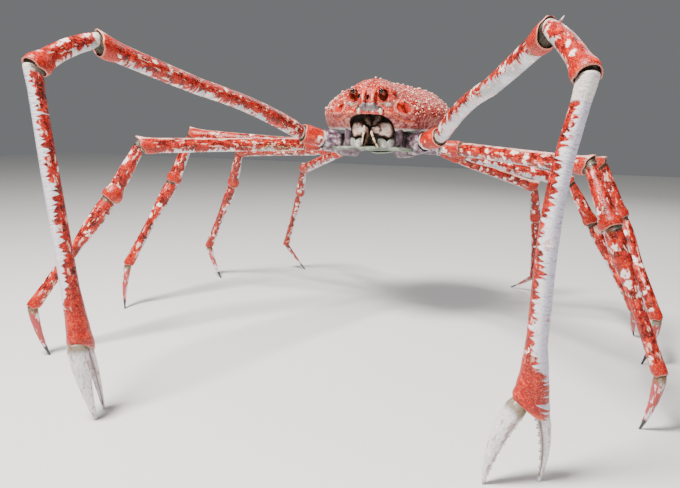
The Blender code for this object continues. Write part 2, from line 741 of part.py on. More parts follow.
def settle():
    """Put the origin under the middle of the model, on the floor."""
    low = Vector((1e9, 1e9, 1e9))
    high = -low
    for item in bpy.data.objects:
        for vert in item.data.vertices:
            for axis in range(3):
                low[axis] = min(low[axis], vert.co[axis])
                high[axis] = max(high[axis], vert.co[axis])
    shift = Vector((-(low.x + high.x) / 2, -(low.y + high.y) / 2, -low.z))
    for item in bpy.data.objects:
        for vert in item.data.vertices:
            vert.co += shift
    print("shift", [round(part, 6) for part in shift], "size", high - low)


settle()
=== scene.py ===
import math
import random

import bmesh
import bpy
from mathutils import Matrix, Vector, noise
from mathutils.bvhtree import BVHTree


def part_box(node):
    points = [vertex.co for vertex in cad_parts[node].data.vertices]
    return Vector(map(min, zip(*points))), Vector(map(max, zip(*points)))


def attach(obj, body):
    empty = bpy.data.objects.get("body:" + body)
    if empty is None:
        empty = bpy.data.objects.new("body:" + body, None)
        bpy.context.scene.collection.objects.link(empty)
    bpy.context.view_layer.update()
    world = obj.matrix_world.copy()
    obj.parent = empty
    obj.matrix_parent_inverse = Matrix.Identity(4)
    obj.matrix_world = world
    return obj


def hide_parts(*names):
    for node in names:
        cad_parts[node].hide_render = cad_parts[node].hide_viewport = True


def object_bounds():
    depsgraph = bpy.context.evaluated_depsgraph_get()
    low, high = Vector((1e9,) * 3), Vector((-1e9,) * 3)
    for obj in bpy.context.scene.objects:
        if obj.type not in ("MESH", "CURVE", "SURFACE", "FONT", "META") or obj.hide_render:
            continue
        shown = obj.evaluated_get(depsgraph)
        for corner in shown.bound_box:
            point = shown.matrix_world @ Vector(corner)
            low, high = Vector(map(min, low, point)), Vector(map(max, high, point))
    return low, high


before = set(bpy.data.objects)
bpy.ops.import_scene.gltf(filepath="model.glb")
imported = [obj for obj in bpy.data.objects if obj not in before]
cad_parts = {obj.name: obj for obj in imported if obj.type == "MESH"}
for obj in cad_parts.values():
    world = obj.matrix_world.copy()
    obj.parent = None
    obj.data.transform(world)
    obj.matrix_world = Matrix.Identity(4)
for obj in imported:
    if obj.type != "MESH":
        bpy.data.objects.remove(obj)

cad_low, cad_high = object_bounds()

# Stage
# A plain pale studio floor under soft lights, seen from where the photographer stood:
# level with the body, a little to the crab's left, and tipped down by about ten degrees.

MM = 0.001


def linear(hex_colour, alpha=1.0):
    """An sRGB hex colour as linear values."""
    parts = [int(hex_colour[i:i + 2], 16) / 255 for i in (1, 3, 5)]
    return tuple(c / 12.92 if c <= 0.04045 else ((c + 0.055) / 1.055) ** 2.4 for c in parts) + (alpha,)


# Nodes that are used in one mode: their kind, the name of the setting and its value.
MODES = {
    "take": ("Math", "operation", "SUBTRACT"), "times": ("Math", "operation", "MULTIPLY"),
    "times_add": ("Math", "operation", "MULTIPLY_ADD"), "below": ("Math", "operation", "LESS_THAN"),
    "rise": ("MapRange", "interpolation_type", "SMOOTHSTEP"), "lay": ("Mix", "data_type", "RGBA"),
    "vector_take": ("VectorMath", "operation", "SUBTRACT"),
    "vector_times_add": ("VectorMath", "operation", "MULTIPLY_ADD"),
}


def fill(tree, socket, value):
    """Link or set a socket."""
    if isinstance(value, bpy.types.NodeSocket):
        tree.links.new(value, socket)
    else:
        socket.default_value = value


def node(tree, kind, *values, out=0, stops=(), **named):
    """Add a node and give back one of its outputs.

    The values fill the inputs in use, in order. A keyword with a capital fills the input of
    that name, another one is a setting of the node, and stops are those of a colour ramp.
    """
    kind, *mode = MODES.get(kind, (kind,))
    made = tree.nodes.new("ShaderNode" + kind)
    if mode:
        setattr(made, *mode)
    for index, (position, colour) in enumerate(stops):
        stop = made.color_ramp.elements[index] if index < 2 else made.color_ramp.elements.new(position)
        stop.position, stop.color = position, linear(colour)
    for name, value in named.items():
        if name[0].islower():
            setattr(made, name, value)
        else:
            fill(tree, made.inputs[name.replace("_", " ")], value)
    for socket, value in zip([socket for socket in made.inputs if socket.enabled], values):
        fill(tree, socket, value)
    ends = made.outputs if isinstance(out, str) else [socket for socket in made.outputs if socket.enabled]
    return ends[out]


def new_material(name, roughness):
    """A material with a Principled shader, and its node tree."""
    material = bpy.data.materials.new(name)
    material.use_nodes = True
    material.node_tree.nodes["Principled BSDF"].inputs["Roughness"].default_value = roughness
    return material, material.node_tree


def close_material(tree, colour, height=None, distance=0.0, **values):
    """Give the shader its colour, its relief and its own values."""
    shader = tree.nodes["Principled BSDF"]
    fill(tree, shader.inputs["Base Color"], colour)
    if height:
        fill(tree, shader.inputs["Normal"], node(tree, "Bump", Height=height, Distance=distance))
    for name, value in values.items():
        fill(tree, shader.inputs[name.replace("_", " ")], value)


def add_object(name, data):
    """Put a camera, a light or a mesh into the scene."""
    made = bpy.data.objects.new(name, data)
    bpy.context.scene.collection.objects.link(made)
    return made


def mesh_object(name, bm, *materials):
    """Make a shaped mesh an object with its materials."""
    mesh = bpy.data.meshes.new(name)
    bm.to_mesh(mesh)
    bm.free()
    for material in materials:
        mesh.materials.append(material)
    return add_object(name, mesh)


chest_low, chest_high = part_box("sternum")
# The front of the chest shelf is this far ahead of the middle of the crab.
SHELF_FRONT = 0.1396
MIDDLE = Vector(((chest_low[0] + chest_high[0]) / 2, chest_low[1] + SHELF_FRONT, 0.0))

CAMERA_PLACE = Vector((0.414, -1.554, 0.506))
CAMERA_YAW = math.radians(18.4)
CAMERA_PITCH = math.radians(-10.64)
CAMERA_ROLL = math.radians(1.14)
FOCAL_PIXELS = 660
PICTURE_WIDTH = 680

forward = Vector((-math.sin(CAMERA_YAW) * math.cos(CAMERA_PITCH),
                  math.cos(CAMERA_YAW) * math.cos(CAMERA_PITCH), math.sin(CAMERA_PITCH)))
level_right = Vector((math.cos(CAMERA_YAW), math.sin(CAMERA_YAW), 0))
level_up = level_right.cross(forward)
camera_right = math.cos(CAMERA_ROLL) * level_right + math.sin(CAMERA_ROLL) * level_up
camera_up = math.cos(CAMERA_ROLL) * level_up - math.sin(CAMERA_ROLL) * level_right
lens = bpy.data.cameras.new("camera")
lens.sensor_width = 36.0
lens.lens = lens.sensor_width * FOCAL_PIXELS / PICTURE_WIDTH
camera = add_object("camera", lens)
turned = Matrix((camera_right, camera_up, -forward)).transposed().to_4x4()
camera.matrix_world = Matrix.Translation(CAMERA_PLACE + MIDDLE) @ turned
bpy.context.scene.camera = camera

floor_bm = bmesh.new()
bmesh.ops.create_grid(floor_bm, x_segments=1, y_segments=1, size=6.0)
floor_material, tree = new_material("pale painted floor", 0.65)
close_material(tree, linear("#e9e9e7"))
floor = mesh_object("floor", floor_bm, floor_material)


def add_light(name, place, target, size, power, colour):
    """A square soft light that faces a target."""
    light = bpy.data.lights.new(name, "AREA")
    light.size = size
    light.energy = power
    light.color = linear(colour)[:3]
    lamp = add_object(name, light)
    lamp.location = place
    lamp.rotation_euler = (Vector(target) - Vector(place)).to_track_quat("-Z", "Y").to_euler()


BODY_TARGET = (0.0, 0.0, 0.4)
add_light("key light", (-0.6, -1.5, 2.8), BODY_TARGET, 0.7, 270, "#fffaf2")
add_light("fill light", (2.0, -2.2, 1.2), BODY_TARGET, 1.8, 12, "#f4f8ff")
add_light("back light", (0.6, 2.4, 2.2), BODY_TARGET, 1.6, 34, "#ffffff")
world = bpy.data.worlds.new("studio")
world.use_nodes = True
world.node_tree.nodes["Background"].inputs["Color"].default_value = linear("#d4d6da")
world.node_tree.nodes["Background"].inputs["Strength"].default_value = 0.26
bpy.context.scene.world = world


# Limb shells
# Ten limbs of hard chitin tubes, the first pair ending in claws. Each tube is one moulted
# shell piece with a narrow knuckle, a flared far rim and a soft brown membrane at the joint.

UP = Vector((0, 0, 1))
HIPS = {1: (0.085, -0.065), 2: (0.105, -0.020), 3: (0.110, 0.025), 4: (0.100, 0.065), 5: (0.080, 0.100)}
HIP_LEVEL = 0.452
ISCHIUM_ENDS = {
    1: (0.160, -0.122, 0.475),
    2: (0.192, -0.028, 0.446),
    3: (0.195, 0.025, 0.443),
    4: (0.190, 0.079, 0.428),
    5: (0.166, 0.131, 0.415),
}
# Merus, carpus, propodus and dactylus lengths of each pair.
LENGTHS = {
    1: (0.526, 0.139, 0.453, 0.126),
    2: (0.395, 0.134, 0.273, 0.114),
    3: (0.325, 0.136, 0.251, 0.118),
    4: (0.296, 0.124, 0.251, 0.110),
    5: (0.257, 0.109, 0.218, 0.113),
}
SHORTER = {("left", 2): 0.933, ("left", 3): 0.934, ("left", 4): 0.905}
# Headings forward of straight out, then elevations, in degrees.
POSE = {
    ("right", 1): ((68.5, 17.0), (80.3, -22.8), (196.0, -83.6), -148.5),
    ("left", 1): ((63.7, 17.5), (64.0, -30.0), (215.0, -83.5), -199.5),
    ("right", 2): ((47.5, -0.5), (48.0, -59.5), (51.0, -52.5), -124.0),
    ("left", 2): ((43.0, -2.0), (52.5, -56.0), (40.5, -62.5), -147.5),
    ("right", 3): ((5.5, 3.0), (17.5, -66.5), (43.0, -60.5), 80.0),
    ("left", 3): ((-1.5, -4.5), (13.5, -67.0), (51.0, -56.5), -130.5),
    ("right", 4): ((-18.5, -3.0), (-44.5, -57.5), (-28.5, -56.0), 172.5),
    ("left", 4): ((-19.0, -13.5), (17.5, -58.5), (25.5, -57.5), -81.0),
    ("right", 5): ((-49.0, -13.0), (-59.0, -50.5), (-46.0, -56.5), -143.0),
    ("left", 5): ((-43.0, -17.0), (-80.0, -63.0), (-88.5, -58.5), -133.5),
}
# Widths in millimetres: coxa; neck, low, middle and rim of three segments; dactylus base.
WIDTHS = {
    1: (50, (30, 37, 33, 42), (23, 28, 31, 41), (28, 25, 28, 41), 31),
    2: (40, (26, 31, 31, 37), (23, 26, 31, 44), (32, 36, 23, 27), 21),
    3: (37, (25, 30, 29, 36), (22, 25, 30, 41), (30, 34, 24, 27), 19),
    4: (34, (23, 28, 28, 34), (19, 22, 28, 36), (26, 30, 22, 26), 18),
    5: (30, (21, 26, 26, 33), (18, 22, 26, 31), (20, 24, 19, 23), 15),
}
FIXED_TIPS = {"right": (-0.314, -0.657, 0.0), "left": (0.416, -0.633, 0.0)}
PALM_SLANT = 0.70
FLATNESS = 0.90
FOOT = 2.2 * MM
RING_SIDES = 36
FINGER_RINGS = 34
RING_SPACING = 5 * MM
# How much of the tilt is left on the open side of a joint, where the membrane shows.
OPEN_SIDE = 0.55
CUP_DEPTH = 7 * MM
LIP = 1.6 * MM
RIPPLE = 0.012
# The finely ringed start of a segment.
KNUCKLE = 12 * MM


def step(side, heading, elevation, length):
    """The move along a segment."""
    turn = math.radians(heading)
    rise = math.radians(elevation)
    sign = 1 if side == "left" else -1
    return length * Vector((sign * math.cos(turn) * math.cos(rise),
                            -math.sin(turn) * math.cos(rise), math.sin(rise)))


def limb_joints(side, pair):
    """Hip, ischium end, merus end, carpus end, propodus end and tip."""
    sign = 1 if side == "left" else -1
    hip_x, hip_y = HIPS[pair]
    end = ISCHIUM_ENDS[pair]
    joints = [Vector((sign * hip_x, hip_y, HIP_LEVEL)), Vector((sign * end[0], end[1], end[2]))]
    lengths = [length * SHORTER.get((side, pair), 1.0) for length in LENGTHS[pair]]
    pose = POSE[(side, pair)]
    for (heading, elevation), length in zip(pose[:3], lengths):
        joints.append(joints[-1] + step(side, heading, elevation, length))
    lean = -math.degrees(math.asin(min(1.0, joints[-1].z / lengths[3])))
    joints.append(joints[-1] + step(side, pose[3], lean, lengths[3]))
    return [joint + MIDDLE for joint in joints]


def blend(low, high, value):
    """Nought below low, one above high, and a smooth rise between."""
    share = min(1.0, max(0.0, (value - low) / (high - low)))
    return share * share * (3 - 2 * share)


def width_at(stations, along):
    """The half-width between the stations at a distance, with smooth changes."""
    for (low, first), (high, second) in zip(stations, stations[1:]):
        if along <= high:
            return first + (second - first) * blend(low, high, along)
    return stations[-1][1]


def segment_stations(length, neck, low, middle, rim):
    """Half-widths along a leg segment: a narrow neck, a waist and a flared far rim."""
    return [
        (0.0, neck),
        (length * min(0.10, 0.5 * low / length), neck * 1.06),
        (length * min(0.20, 1.6 * low / length), low),
        (length * 0.5, middle),
        (length * (1.0 - min(0.24, 2.2 * rim / length)), middle * 1.06),
        (length * (1.0 - min(0.09, 0.5 * rim / length)), rim),
        (length, rim * 0.93),
    ]


def shape_tube(bm, rows, sides=RING_SIDES):
    """Shape a grid into a tube whose rows come from functions of the angle.

    A row function returns a point's place, local place, zone values and share of hollow.
    """
    spot = bm.verts.layers.float_vector.new("place")
    zone = bm.verts.layers.float_vector.new("zone")
    hollow = bm.verts.layers.float.new("hollow")
    bmesh.ops.create_grid(bm, x_segments=sides, y_segments=len(rows) - 1, size=1.0)
    for vert in bm.verts:
        angle = math.pi * (vert.co.x + 1.0)
        row = rows[round((vert.co.y + 1.0) / 2.0 * (len(rows) - 1))]
        vert.co, vert[spot], vert[zone], vert[hollow] = row(angle)
    bmesh.ops.remove_doubles(bm, verts=bm.verts[:], dist=1e-6)
    bmesh.ops.holes_fill(bm, edges=bm.edges[:], sides=sides)


def closed_object(name, bm, material):
    """A closed mesh with its faces turned outward."""
    bm.normal_update()
    bmesh.ops.recalc_face_normals(bm, faces=bm.faces[:])
    return mesh_object(name, bm, material)


def dress(piece, slot, *nodes):
    """Make an object a smooth piece that stands for CAD nodes."""
    for polygon in piece.data.polygons:
        polygon.use_smooth = True
    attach(piece, "root")
    if nodes:
        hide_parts(*nodes)


def finish_piece(bm, name, material, slot, *nodes):
    """Make the shaped mesh a piece."""
    dress(closed_object(name, bm, material), slot, *nodes)


def within_solids(place):
    """The nearest place that isn't outside the box of the solids."""
    return Vector([min(max(value, low), high) for value, low, high in zip(place, cad_low, cad_high)])


def add_tube(name, material, slot, rows, *nodes, sides=RING_SIDES):
    """A piece that is one shaped tube."""
    bm = bmesh.new()
    shape_tube(bm, rows, sides)
    finish_piece(bm, name, material, slot, *nodes)


class Segment:
    """One straight shell tube between two joints."""

    def __init__(self, start, end, start_plane, end_plane, side, stations, number,
                 red_way, red_share, flatness=FLATNESS, widen=None):
        self.start = start
        self.tangent = (end - start).normalized()
        self.length = (end - start).length
        self.start_plane = start_plane
        self.end_plane = end_plane
        self.across = (side - self.tangent * side.dot(self.tangent)).normalized()
        self.upward = self.tangent.cross(self.across).normalized()
        self.stations = stations
        self.number = number
        self.red_way = red_way
        self.red_share = red_share
        self.flatness = flatness
        self.widen = widen or (lambda along: 1.0)
        self.reach = min(3.0 * max(half for along, half in stations), self.length / 2)
        self.tooth = 0.0
        # The soft joint skin shows as a lens on this side of the start.
        self.skin_way = Vector((0, -0.86, 0.5))
        # How much wider the pale first ring is than in its material.
        self.collar = 0.0
        # Whether a pale pink painted highlight runs along the top.
        self.painted_top_highlight = False
        self.bend = lambda share: (0.0, 0.0)

    def point(self, along, angle, scale=1.0, shift=0.0, end_weight=None, hollow=0.0):
        """A point of the shell, with its local place, zone and hollow for the material."""
        half = width_at(self.stations, along) * scale
        turn = Vector((math.cos(angle), math.sin(angle)))
        local = Vector((along + 1.7 * self.number, turn.x * half, turn.y * half))
        half *= 1.0 + RIPPLE * noise.noise(local * 34.0) + RIPPLE * noise.noise(local * 90.0)
        offset = (self.across * turn.x * self.flatness * self.widen(along) + self.upward * turn.y) * half
        slide_start = -offset.dot(self.start_plane) / self.tangent.dot(self.start_plane)
        slide_end = -offset.dot(self.end_plane) / self.tangent.dot(self.end_plane)
        if slide_start < 0:
            slide_start *= OPEN_SIDE
        if slide_end > 0:
            slide_end *= OPEN_SIDE
        weight = max(0.0, 1.0 - (self.length - along) / self.reach) if end_weight is None else end_weight
        start_weight = max(0.0, 1.0 - along / self.reach)
        slide = slide_end * weight + slide_start * start_weight
        aside, above = self.bend(min(1.0, along / self.length))
        off = self.across * aside + self.upward * above
        slide -= off.dot(self.start_plane) / self.tangent.dot(self.start_plane) * start_weight
        slide -= off.dot(self.end_plane) / self.tangent.dot(self.end_plane) * weight
        rim = blend(self.length - 16 * MM, self.length, along) if end_weight is None else end_weight
        # Two side lobes hold the next piece, and the far rim carries a tooth above.
        lobes = 3.0 * MM * (math.exp(-(turn.y / 0.35) ** 2) - 0.35)
        crown = self.tooth * math.exp(-((turn.y - 1) / 0.10) ** 2)
        slide += rim * (lobes + crown * 0.8)
        offset += self.upward * crown * rim * 0.7
        place = self.start + self.tangent * (along + slide + shift) + offset + off
        facing = (self.across * turn.x + self.upward * turn.y).normalized()
        zone = Vector((facing.dot(self.red_way) + self.red_share, along - self.collar, self.length - along))
        lens = blend(0.20, 0.80, facing.dot(self.skin_way))
        if lens * 8.5 * MM > along:
            hollow = max(hollow, 0.9)
        # A negative value marks the pale pink painted highlight along the top of a merus.
        if self.painted_top_highlight and hollow == 0.0:
            hollow = -blend(0.72, 0.95, facing.dot(self.red_way))
        return within_solids(place), local, zone, hollow

    def rows(self):
        """Row functions from the knuckle, along the shell, over the lip and into the cup."""
        made = []

        def add(along, scale, shift=0.0, end_weight=None, hollow=0.0):
            made.append(lambda angle: self.point(along, angle, scale, shift, end_weight, hollow))

        for shift, scale, hollow in ((-5, 0.35, 1.0), (-5, 0.62, 1.0), (-3.5, 0.84, 0.5), (-1.5, 0.96, 0.0)):
            add(0.0, scale, shift * MM, None, hollow)
        for index in range(8):
            add(index * 1.5 * MM, 1.0)
        count = max(12, round(self.length / RING_SPACING))
        for index in range(count + 1):
            add(KNUCKLE + (self.length - KNUCKLE) * index / count, 1.0)
        rim = width_at(self.stations, self.length)
        inner = (rim - LIP) / rim
        add(self.length, inner, 0.0, 1.0, 0.2)
        add(self.length, inner * 0.96, -CUP_DEPTH * 0.5, 1.0, 1.0)
        add(self.length, inner * 0.88, -CUP_DEPTH, 1.0, 1.0)
        add(self.length, inner * 0.40, -CUP_DEPTH, 1.0, 1.0)
        return made


def membrane_rows(first, second):
    """Rows of the soft skin from inside one rim to the next knuckle."""
    count = 7
    ends = [first.point(first.length, angle)[0] for angle in (0.0, math.pi)]
    ends += [second.point(0.0, angle)[0] for angle in (0.0, math.pi)]
    middle = sum(ends, Vector()) / 4

    def row(index):
        share = index / (count - 1)

        def at(angle):
            low = first.point(first.length, angle, 0.86, -CUP_DEPTH * 0.8, 1.0)
            high = second.point(0.0, angle, 0.93, 2.5 * MM)
            place = low[0].lerp(high[0], share)
            swell = (place - middle).normalized() * 1.6 * MM
            place += swell * math.sin(math.pi * share) * (1 + 0.4 * math.cos(math.pi * index))
            return place, low[1], Vector((0, share, 0)), 0.0

        return at

    return [row(index) for index in range(count)]


# The shell is grown chitin and lime with pigment near the surface. It is red-orange above with
# round white spots and pale below, and the two meet in a jagged border. It is finely
# granular with a dull gloss, so it catches soft highlights broken by the grain.
RED = "#a40200"
RED_DARK = "#480105"
ORANGE = "#f24a24"
PINK_WHITE = "#fbeee8"
PALE = "#e6e3ec"
PALE_GREY = "#b6bcc2"
GRAIN = 2.6 * MM
MOTTLE = 13 * MM
SPOT_SPACING = 19 * MM
SERRATION = 9 * MM


def paint(tree, colour, *layers):
    """Lay shades over a colour.

    A layer is a mask and a shade, and then the mask's values at which the shade is off and
    fully on, and how much of it shows there. Without these the mask itself is its share.
    """
    for mask, shade, *span in layers:
        if span:
            off, on, top = span
            mask = node(tree, "rise", mask, off, on, 0.0, top)
        colour = node(tree, "lay", mask, colour, linear(shade) if isinstance(shade, str) else shade)
    return colour


def limb_values(tree):
    """A point's place along its limb, its three zone values, and how far it is in a hollow;
    a value below nought is the painted highlight along the top of a merus.
    """
    place, zone, hollow = [node(tree, "Attribute", out=out, attribute_name=name)
                           for name, out in (("place", "Vector"), ("zone", "Vector"), ("hollow", "Fac"))]
    return place, node(tree, "SeparateXYZ", zone).node.outputs, hollow


# How far the tooth, cloud and far-end patterns push the border of the red, in the same
# measure as the side, which is one straight above and minus one below.
TOOTH_PUSH = 2.1
CLOUD_PUSH = 1.6
END_PUSH = 1.3


def shell_material(name, spots, wave_push, wrinkles, border, solid_end, collar, cup, pale):
    """Red and pale limb shell.

    It takes the share of cells with a white spot, the size of the border's points, the
    wrinkles' depth, the border between red and pale, how far the far end is all red, the
    width of the pale first ring, and the shades inside the cup and of the pale side.
    """
    material, tree = new_material(name, 0.36)
    place, (side, from_start, from_end), hollow = limb_values(tree)
    mottle_colour = node(tree, "TexNoise", place, 1 / MOTTLE, 3.0, 0.55, out=1)
    mottle = mottle_colour.node.outputs[0]
    broad = node(tree, "TexNoise", place, 1 / (5 * MOTTLE), 2.0)
    stretch = node(tree, "Mapping", place, Scale=(1.0, 0.30, 0.30))
    teeth = node(tree, "TexNoise", stretch, 0.6 / SERRATION, 2.5, 0.60)
    wave = node(tree, "TexWave", stretch, 0.314 / SERRATION, 8.0, 2.0, 1.5, out=1, wave_profile="TRI")
    grain = node(tree, "TexVoronoi", place, 1 / GRAIN)
    fleck = node(tree, "TexNoise", place, 1 / (3.2 * MM), 4.0, 0.7)

    # Where the shell is red: the upper side, pushed in and out along its border in pointed
    # teeth, and the whole far end.
    near_end = node(tree, "rise", from_end, solid_end, solid_end * 0.4)
    level = side
    for value, push in ((teeth, TOOTH_PUSH), (wave, wave_push), (broad, CLOUD_PUSH), (near_end, END_PUSH)):
        level = node(tree, "times_add", value, push, level)
    at_border = border + (TOOTH_PUSH + wave_push + CLOUD_PUSH) / 2
    red_area = node(tree, "rise", level, at_border - 0.10, at_border + 0.08)

    # White spots and loops of uneven outline, some with a red middle, fade at the far end.
    stray = node(tree, "vector_take", mottle_colour, (0.5, 0.5, 0.5))
    spot_place = node(tree, "vector_times_add", stray, (0.030, 0.018, 0.018), place)
    cell = node(tree, "TexVoronoi", spot_place, 1 / SPOT_SPACING, Randomness=0.9)
    shade, pick = node(tree, "SeparateColor", cell.node.outputs["Color"]).node.outputs[:2]
    radius = node(tree, "times_add", shade, 0.36, 0.25)
    from_spot = node(tree, "take", node(tree, "times_add", fleck, 0.30, cell), radius)
    disc = node(tree, "rise", from_spot, 0.06, -0.05)
    middle = node(tree, "rise", from_spot, -0.30, -0.38)
    before_end = node(tree, "rise", from_end, solid_end * 0.35, solid_end * 0.65)
    chosen = node(tree, "times", node(tree, "below", pick, spots), before_end)
    spot = node(tree, "times", node(tree, "take", disc, middle, use_clamp=True), chosen)

    # Red itself: dark red to orange in small flecks, with dark lines and worn white streaks
    # along the limb, and a pale pink painted highlight along the top of a merus. Each grain is
    # tipped with cream, most at the far end.
    long_way = node(tree, "Mapping", place, Scale=(0.35, 1.0, 1.0))
    streak = node(tree, "TexNoise", long_way, 1 / (8 * MM), 4.0, 0.62)
    clear = node(tree, "take", 1.0, near_end)
    red = paint(tree, linear(RED_DARK), (near_end, "#960802"), (mottle, RED, 0.39, 0.55, 1.0),
                (mottle, ORANGE, 0.56, 0.70, 0.7), (fleck, ORANGE, 0.50, 0.64, 0.6),
                (streak, "#4a0206", 0.43, 0.36, node(tree, "times", clear, 0.70)),
                (streak, "#f8c4b4", 0.57, 0.63, node(tree, "times", clear, 0.85)),
                (hollow, "#f6cabc", -0.2, -0.8, node(tree, "rise", streak, 0.36, 0.56, 0.0, 0.9)),
                (grain, "#ffae78", 0.34, 0.20, node(tree, "times_add", near_end, 0.14, 0.11)))
    # Pale shell: white to blue-grey, with lilac painted shade deepening away from the red,
    # painted shade in the wrinkle creases, and red dots.
    across = node(tree, "Mapping", place, Scale=(1.0, 0.22, 0.22))
    crease_relief_and_shade = node(tree, "TexNoise", across, 1 / (3.6 * MM), 2.0)
    dots = node(tree, "TexVoronoi", place, 1 / (26 * MM))
    ground = paint(tree, linear(pale[0]), (broad, pale[1], 0.35, 0.65, 1.0),
                   (side, "#b9b0d2", border - 0.35, border - 1.0, 0.55),
                   (mottle, "#d0a2ac", 0.58, 0.72, 0.35),
                   (crease_relief_and_shade, "#858090", 0.42, 0.34, 0.45), (dots, "#c23a38", 0.13, 0.09, 0.7))
    # Both together, with an orange halo round each spot, the pale first ring, the thin worn
    # lip, the darker furrows of the grain, and the inside of the cup.
    ring_edge = node(tree, "times_add", mottle, 0.010, from_start)
    lip_edge = node(tree, "times_add", fleck, 0.008, from_end)
    inside = paint(tree, linear(cup[0]), (mottle, cup[1], 0.35, 0.65, 1.0))
    colour = paint(tree, ground, (red_area, red),
                   (from_spot, "#dc3420", 0.16, 0.02, node(tree, "times", chosen, 0.5)), (spot, PINK_WHITE),
                   (ring_edge, "#e9dfdb", collar + 0.008, collar + 0.004, 0.85),
                   (lip_edge, "#e8a894", 0.0062, 0.0048, 0.55), (grain, "#5b1a1a", 0.58, 0.95, 0.30),
                   (node(tree, "times", hollow, 0.95), inside))

    # Grain, cross wrinkles and flecks as relief.
    relief = node(tree, "times", grain, -0.40 * MM)
    relief = node(tree, "times_add", crease_relief_and_shade, wrinkles, relief)
    relief = node(tree, "times_add", fleck, 0.45 * MM, relief)
    gloss = node(tree, "MapRange", mottle, 0.3, 0.7, 0.26, 0.44)
    close_material(tree, colour, relief, 1.0, Roughness=gloss, Specular_IOR_Level=0.38,
                   Coat_Weight=0.10, Coat_Roughness=0.22)
    return material


OLIVE_CUP = ("#120e08", "#4c432c")
LILAC_CUP = ("#1c161a", "#625660")
leg_shell = shell_material("spotted red leg shell", 0.55, 0.12, 0.30 * MM, -0.25, 0.040, 0.002,
                           OLIVE_CUP, (PALE_GREY, PALE))
arm_shell = shell_material("red and grey arm shell", 0.50, 0.32, 0.40 * MM, 0.08, 0.050, 0.004,
                           LILAC_CUP, (PALE_GREY, PALE))
claw_shell = shell_material("wrinkled pale claw shell", 0.12, 0.45, 1.50 * MM, 0.05, 0.115, 0.007,
                            OLIVE_CUP, (PALE, "#eceaf0"))

# Soft joint skin: unhardened cuticle, olive-brown and creased, duller than the shell.
skin_material, tree = new_material("soft olive joint skin", 0.6)
wander = node(tree, "TexNoise", limb_values(tree)[0], 160.0, 3.0)
close_material(tree, node(tree, "ValToRGB", wander, stops=((0.35, "#140f08"), (0.70, "#5c5036"))),
               wander, 0.8 * MM)

# The first tubes of each limb are thin purple-grey shell, clouded with red and white.
coxa_shell, tree = new_material("purple grey coxa shell", 0.42)
place, parts, hollow = limb_values(tree)
cloud = node(tree, "TexNoise", place, 70.0, 5.0, 0.65)
shades = node(tree, "ValToRGB", cloud, stops=((0.32, "#22171e"), (0.44, "#4a3642"), (0.53, "#7d6573"),
                                              (0.62, "#c9bcc4"), (0.72, "#9c2420")))
close_material(tree, paint(tree, shades, (hollow, "#2a2219")), cloud, 1.0 * MM, Coat_Weight=0.15)


def finger_material(name, streaks, low, high, share):
    """Pale fingers: smooth hard shell with stains or streaks, and horn-coloured tips."""
    material, tree = new_material(name, 0.32)
    place, (dark, from_start, from_end), hollow = limb_values(tree)
    stretched = node(tree, "Mapping", place, Scale=(0.40, 1.0, 1.0))
    stain = node(tree, "TexNoise", stretched, 100.0, 5.0, 0.6)
    fine = node(tree, "TexNoise", place, 420.0, 3.0)
    specks = node(tree, "TexVoronoi", place, 130.0)
    # Last come the brown groove beside the teeth and the dark horn tip of a walking leg.
    colour = paint(tree, linear("#cbc4cf"), (fine, "#f3eff0", 0.3, 0.7, 1.0),
                   (stain, streaks, low, high, share), (stain, "#8c7c9a", 0.40, 0.30, 0.65),
                   (specks, "#4a3840", 0.16, 0.08, 0.7),
                   (from_start, "#6a5830", 0.018, 0.005, 0.85), (hollow, "#5a2218"),
                   (dark, "#262b31", 0.20, 0.60, 1.0))
    close_material(tree, colour, stain, 3.0 * MM, Coat_Weight=0.2, Coat_Roughness=0.2)
    return material


foot_shell = finger_material("streaked pink foot shell", "#b00c04", 0.42, 0.50, 0.95)
finger_shell = finger_material("stained white finger shell", "#9c7f78", 0.52, 0.62, 0.85)


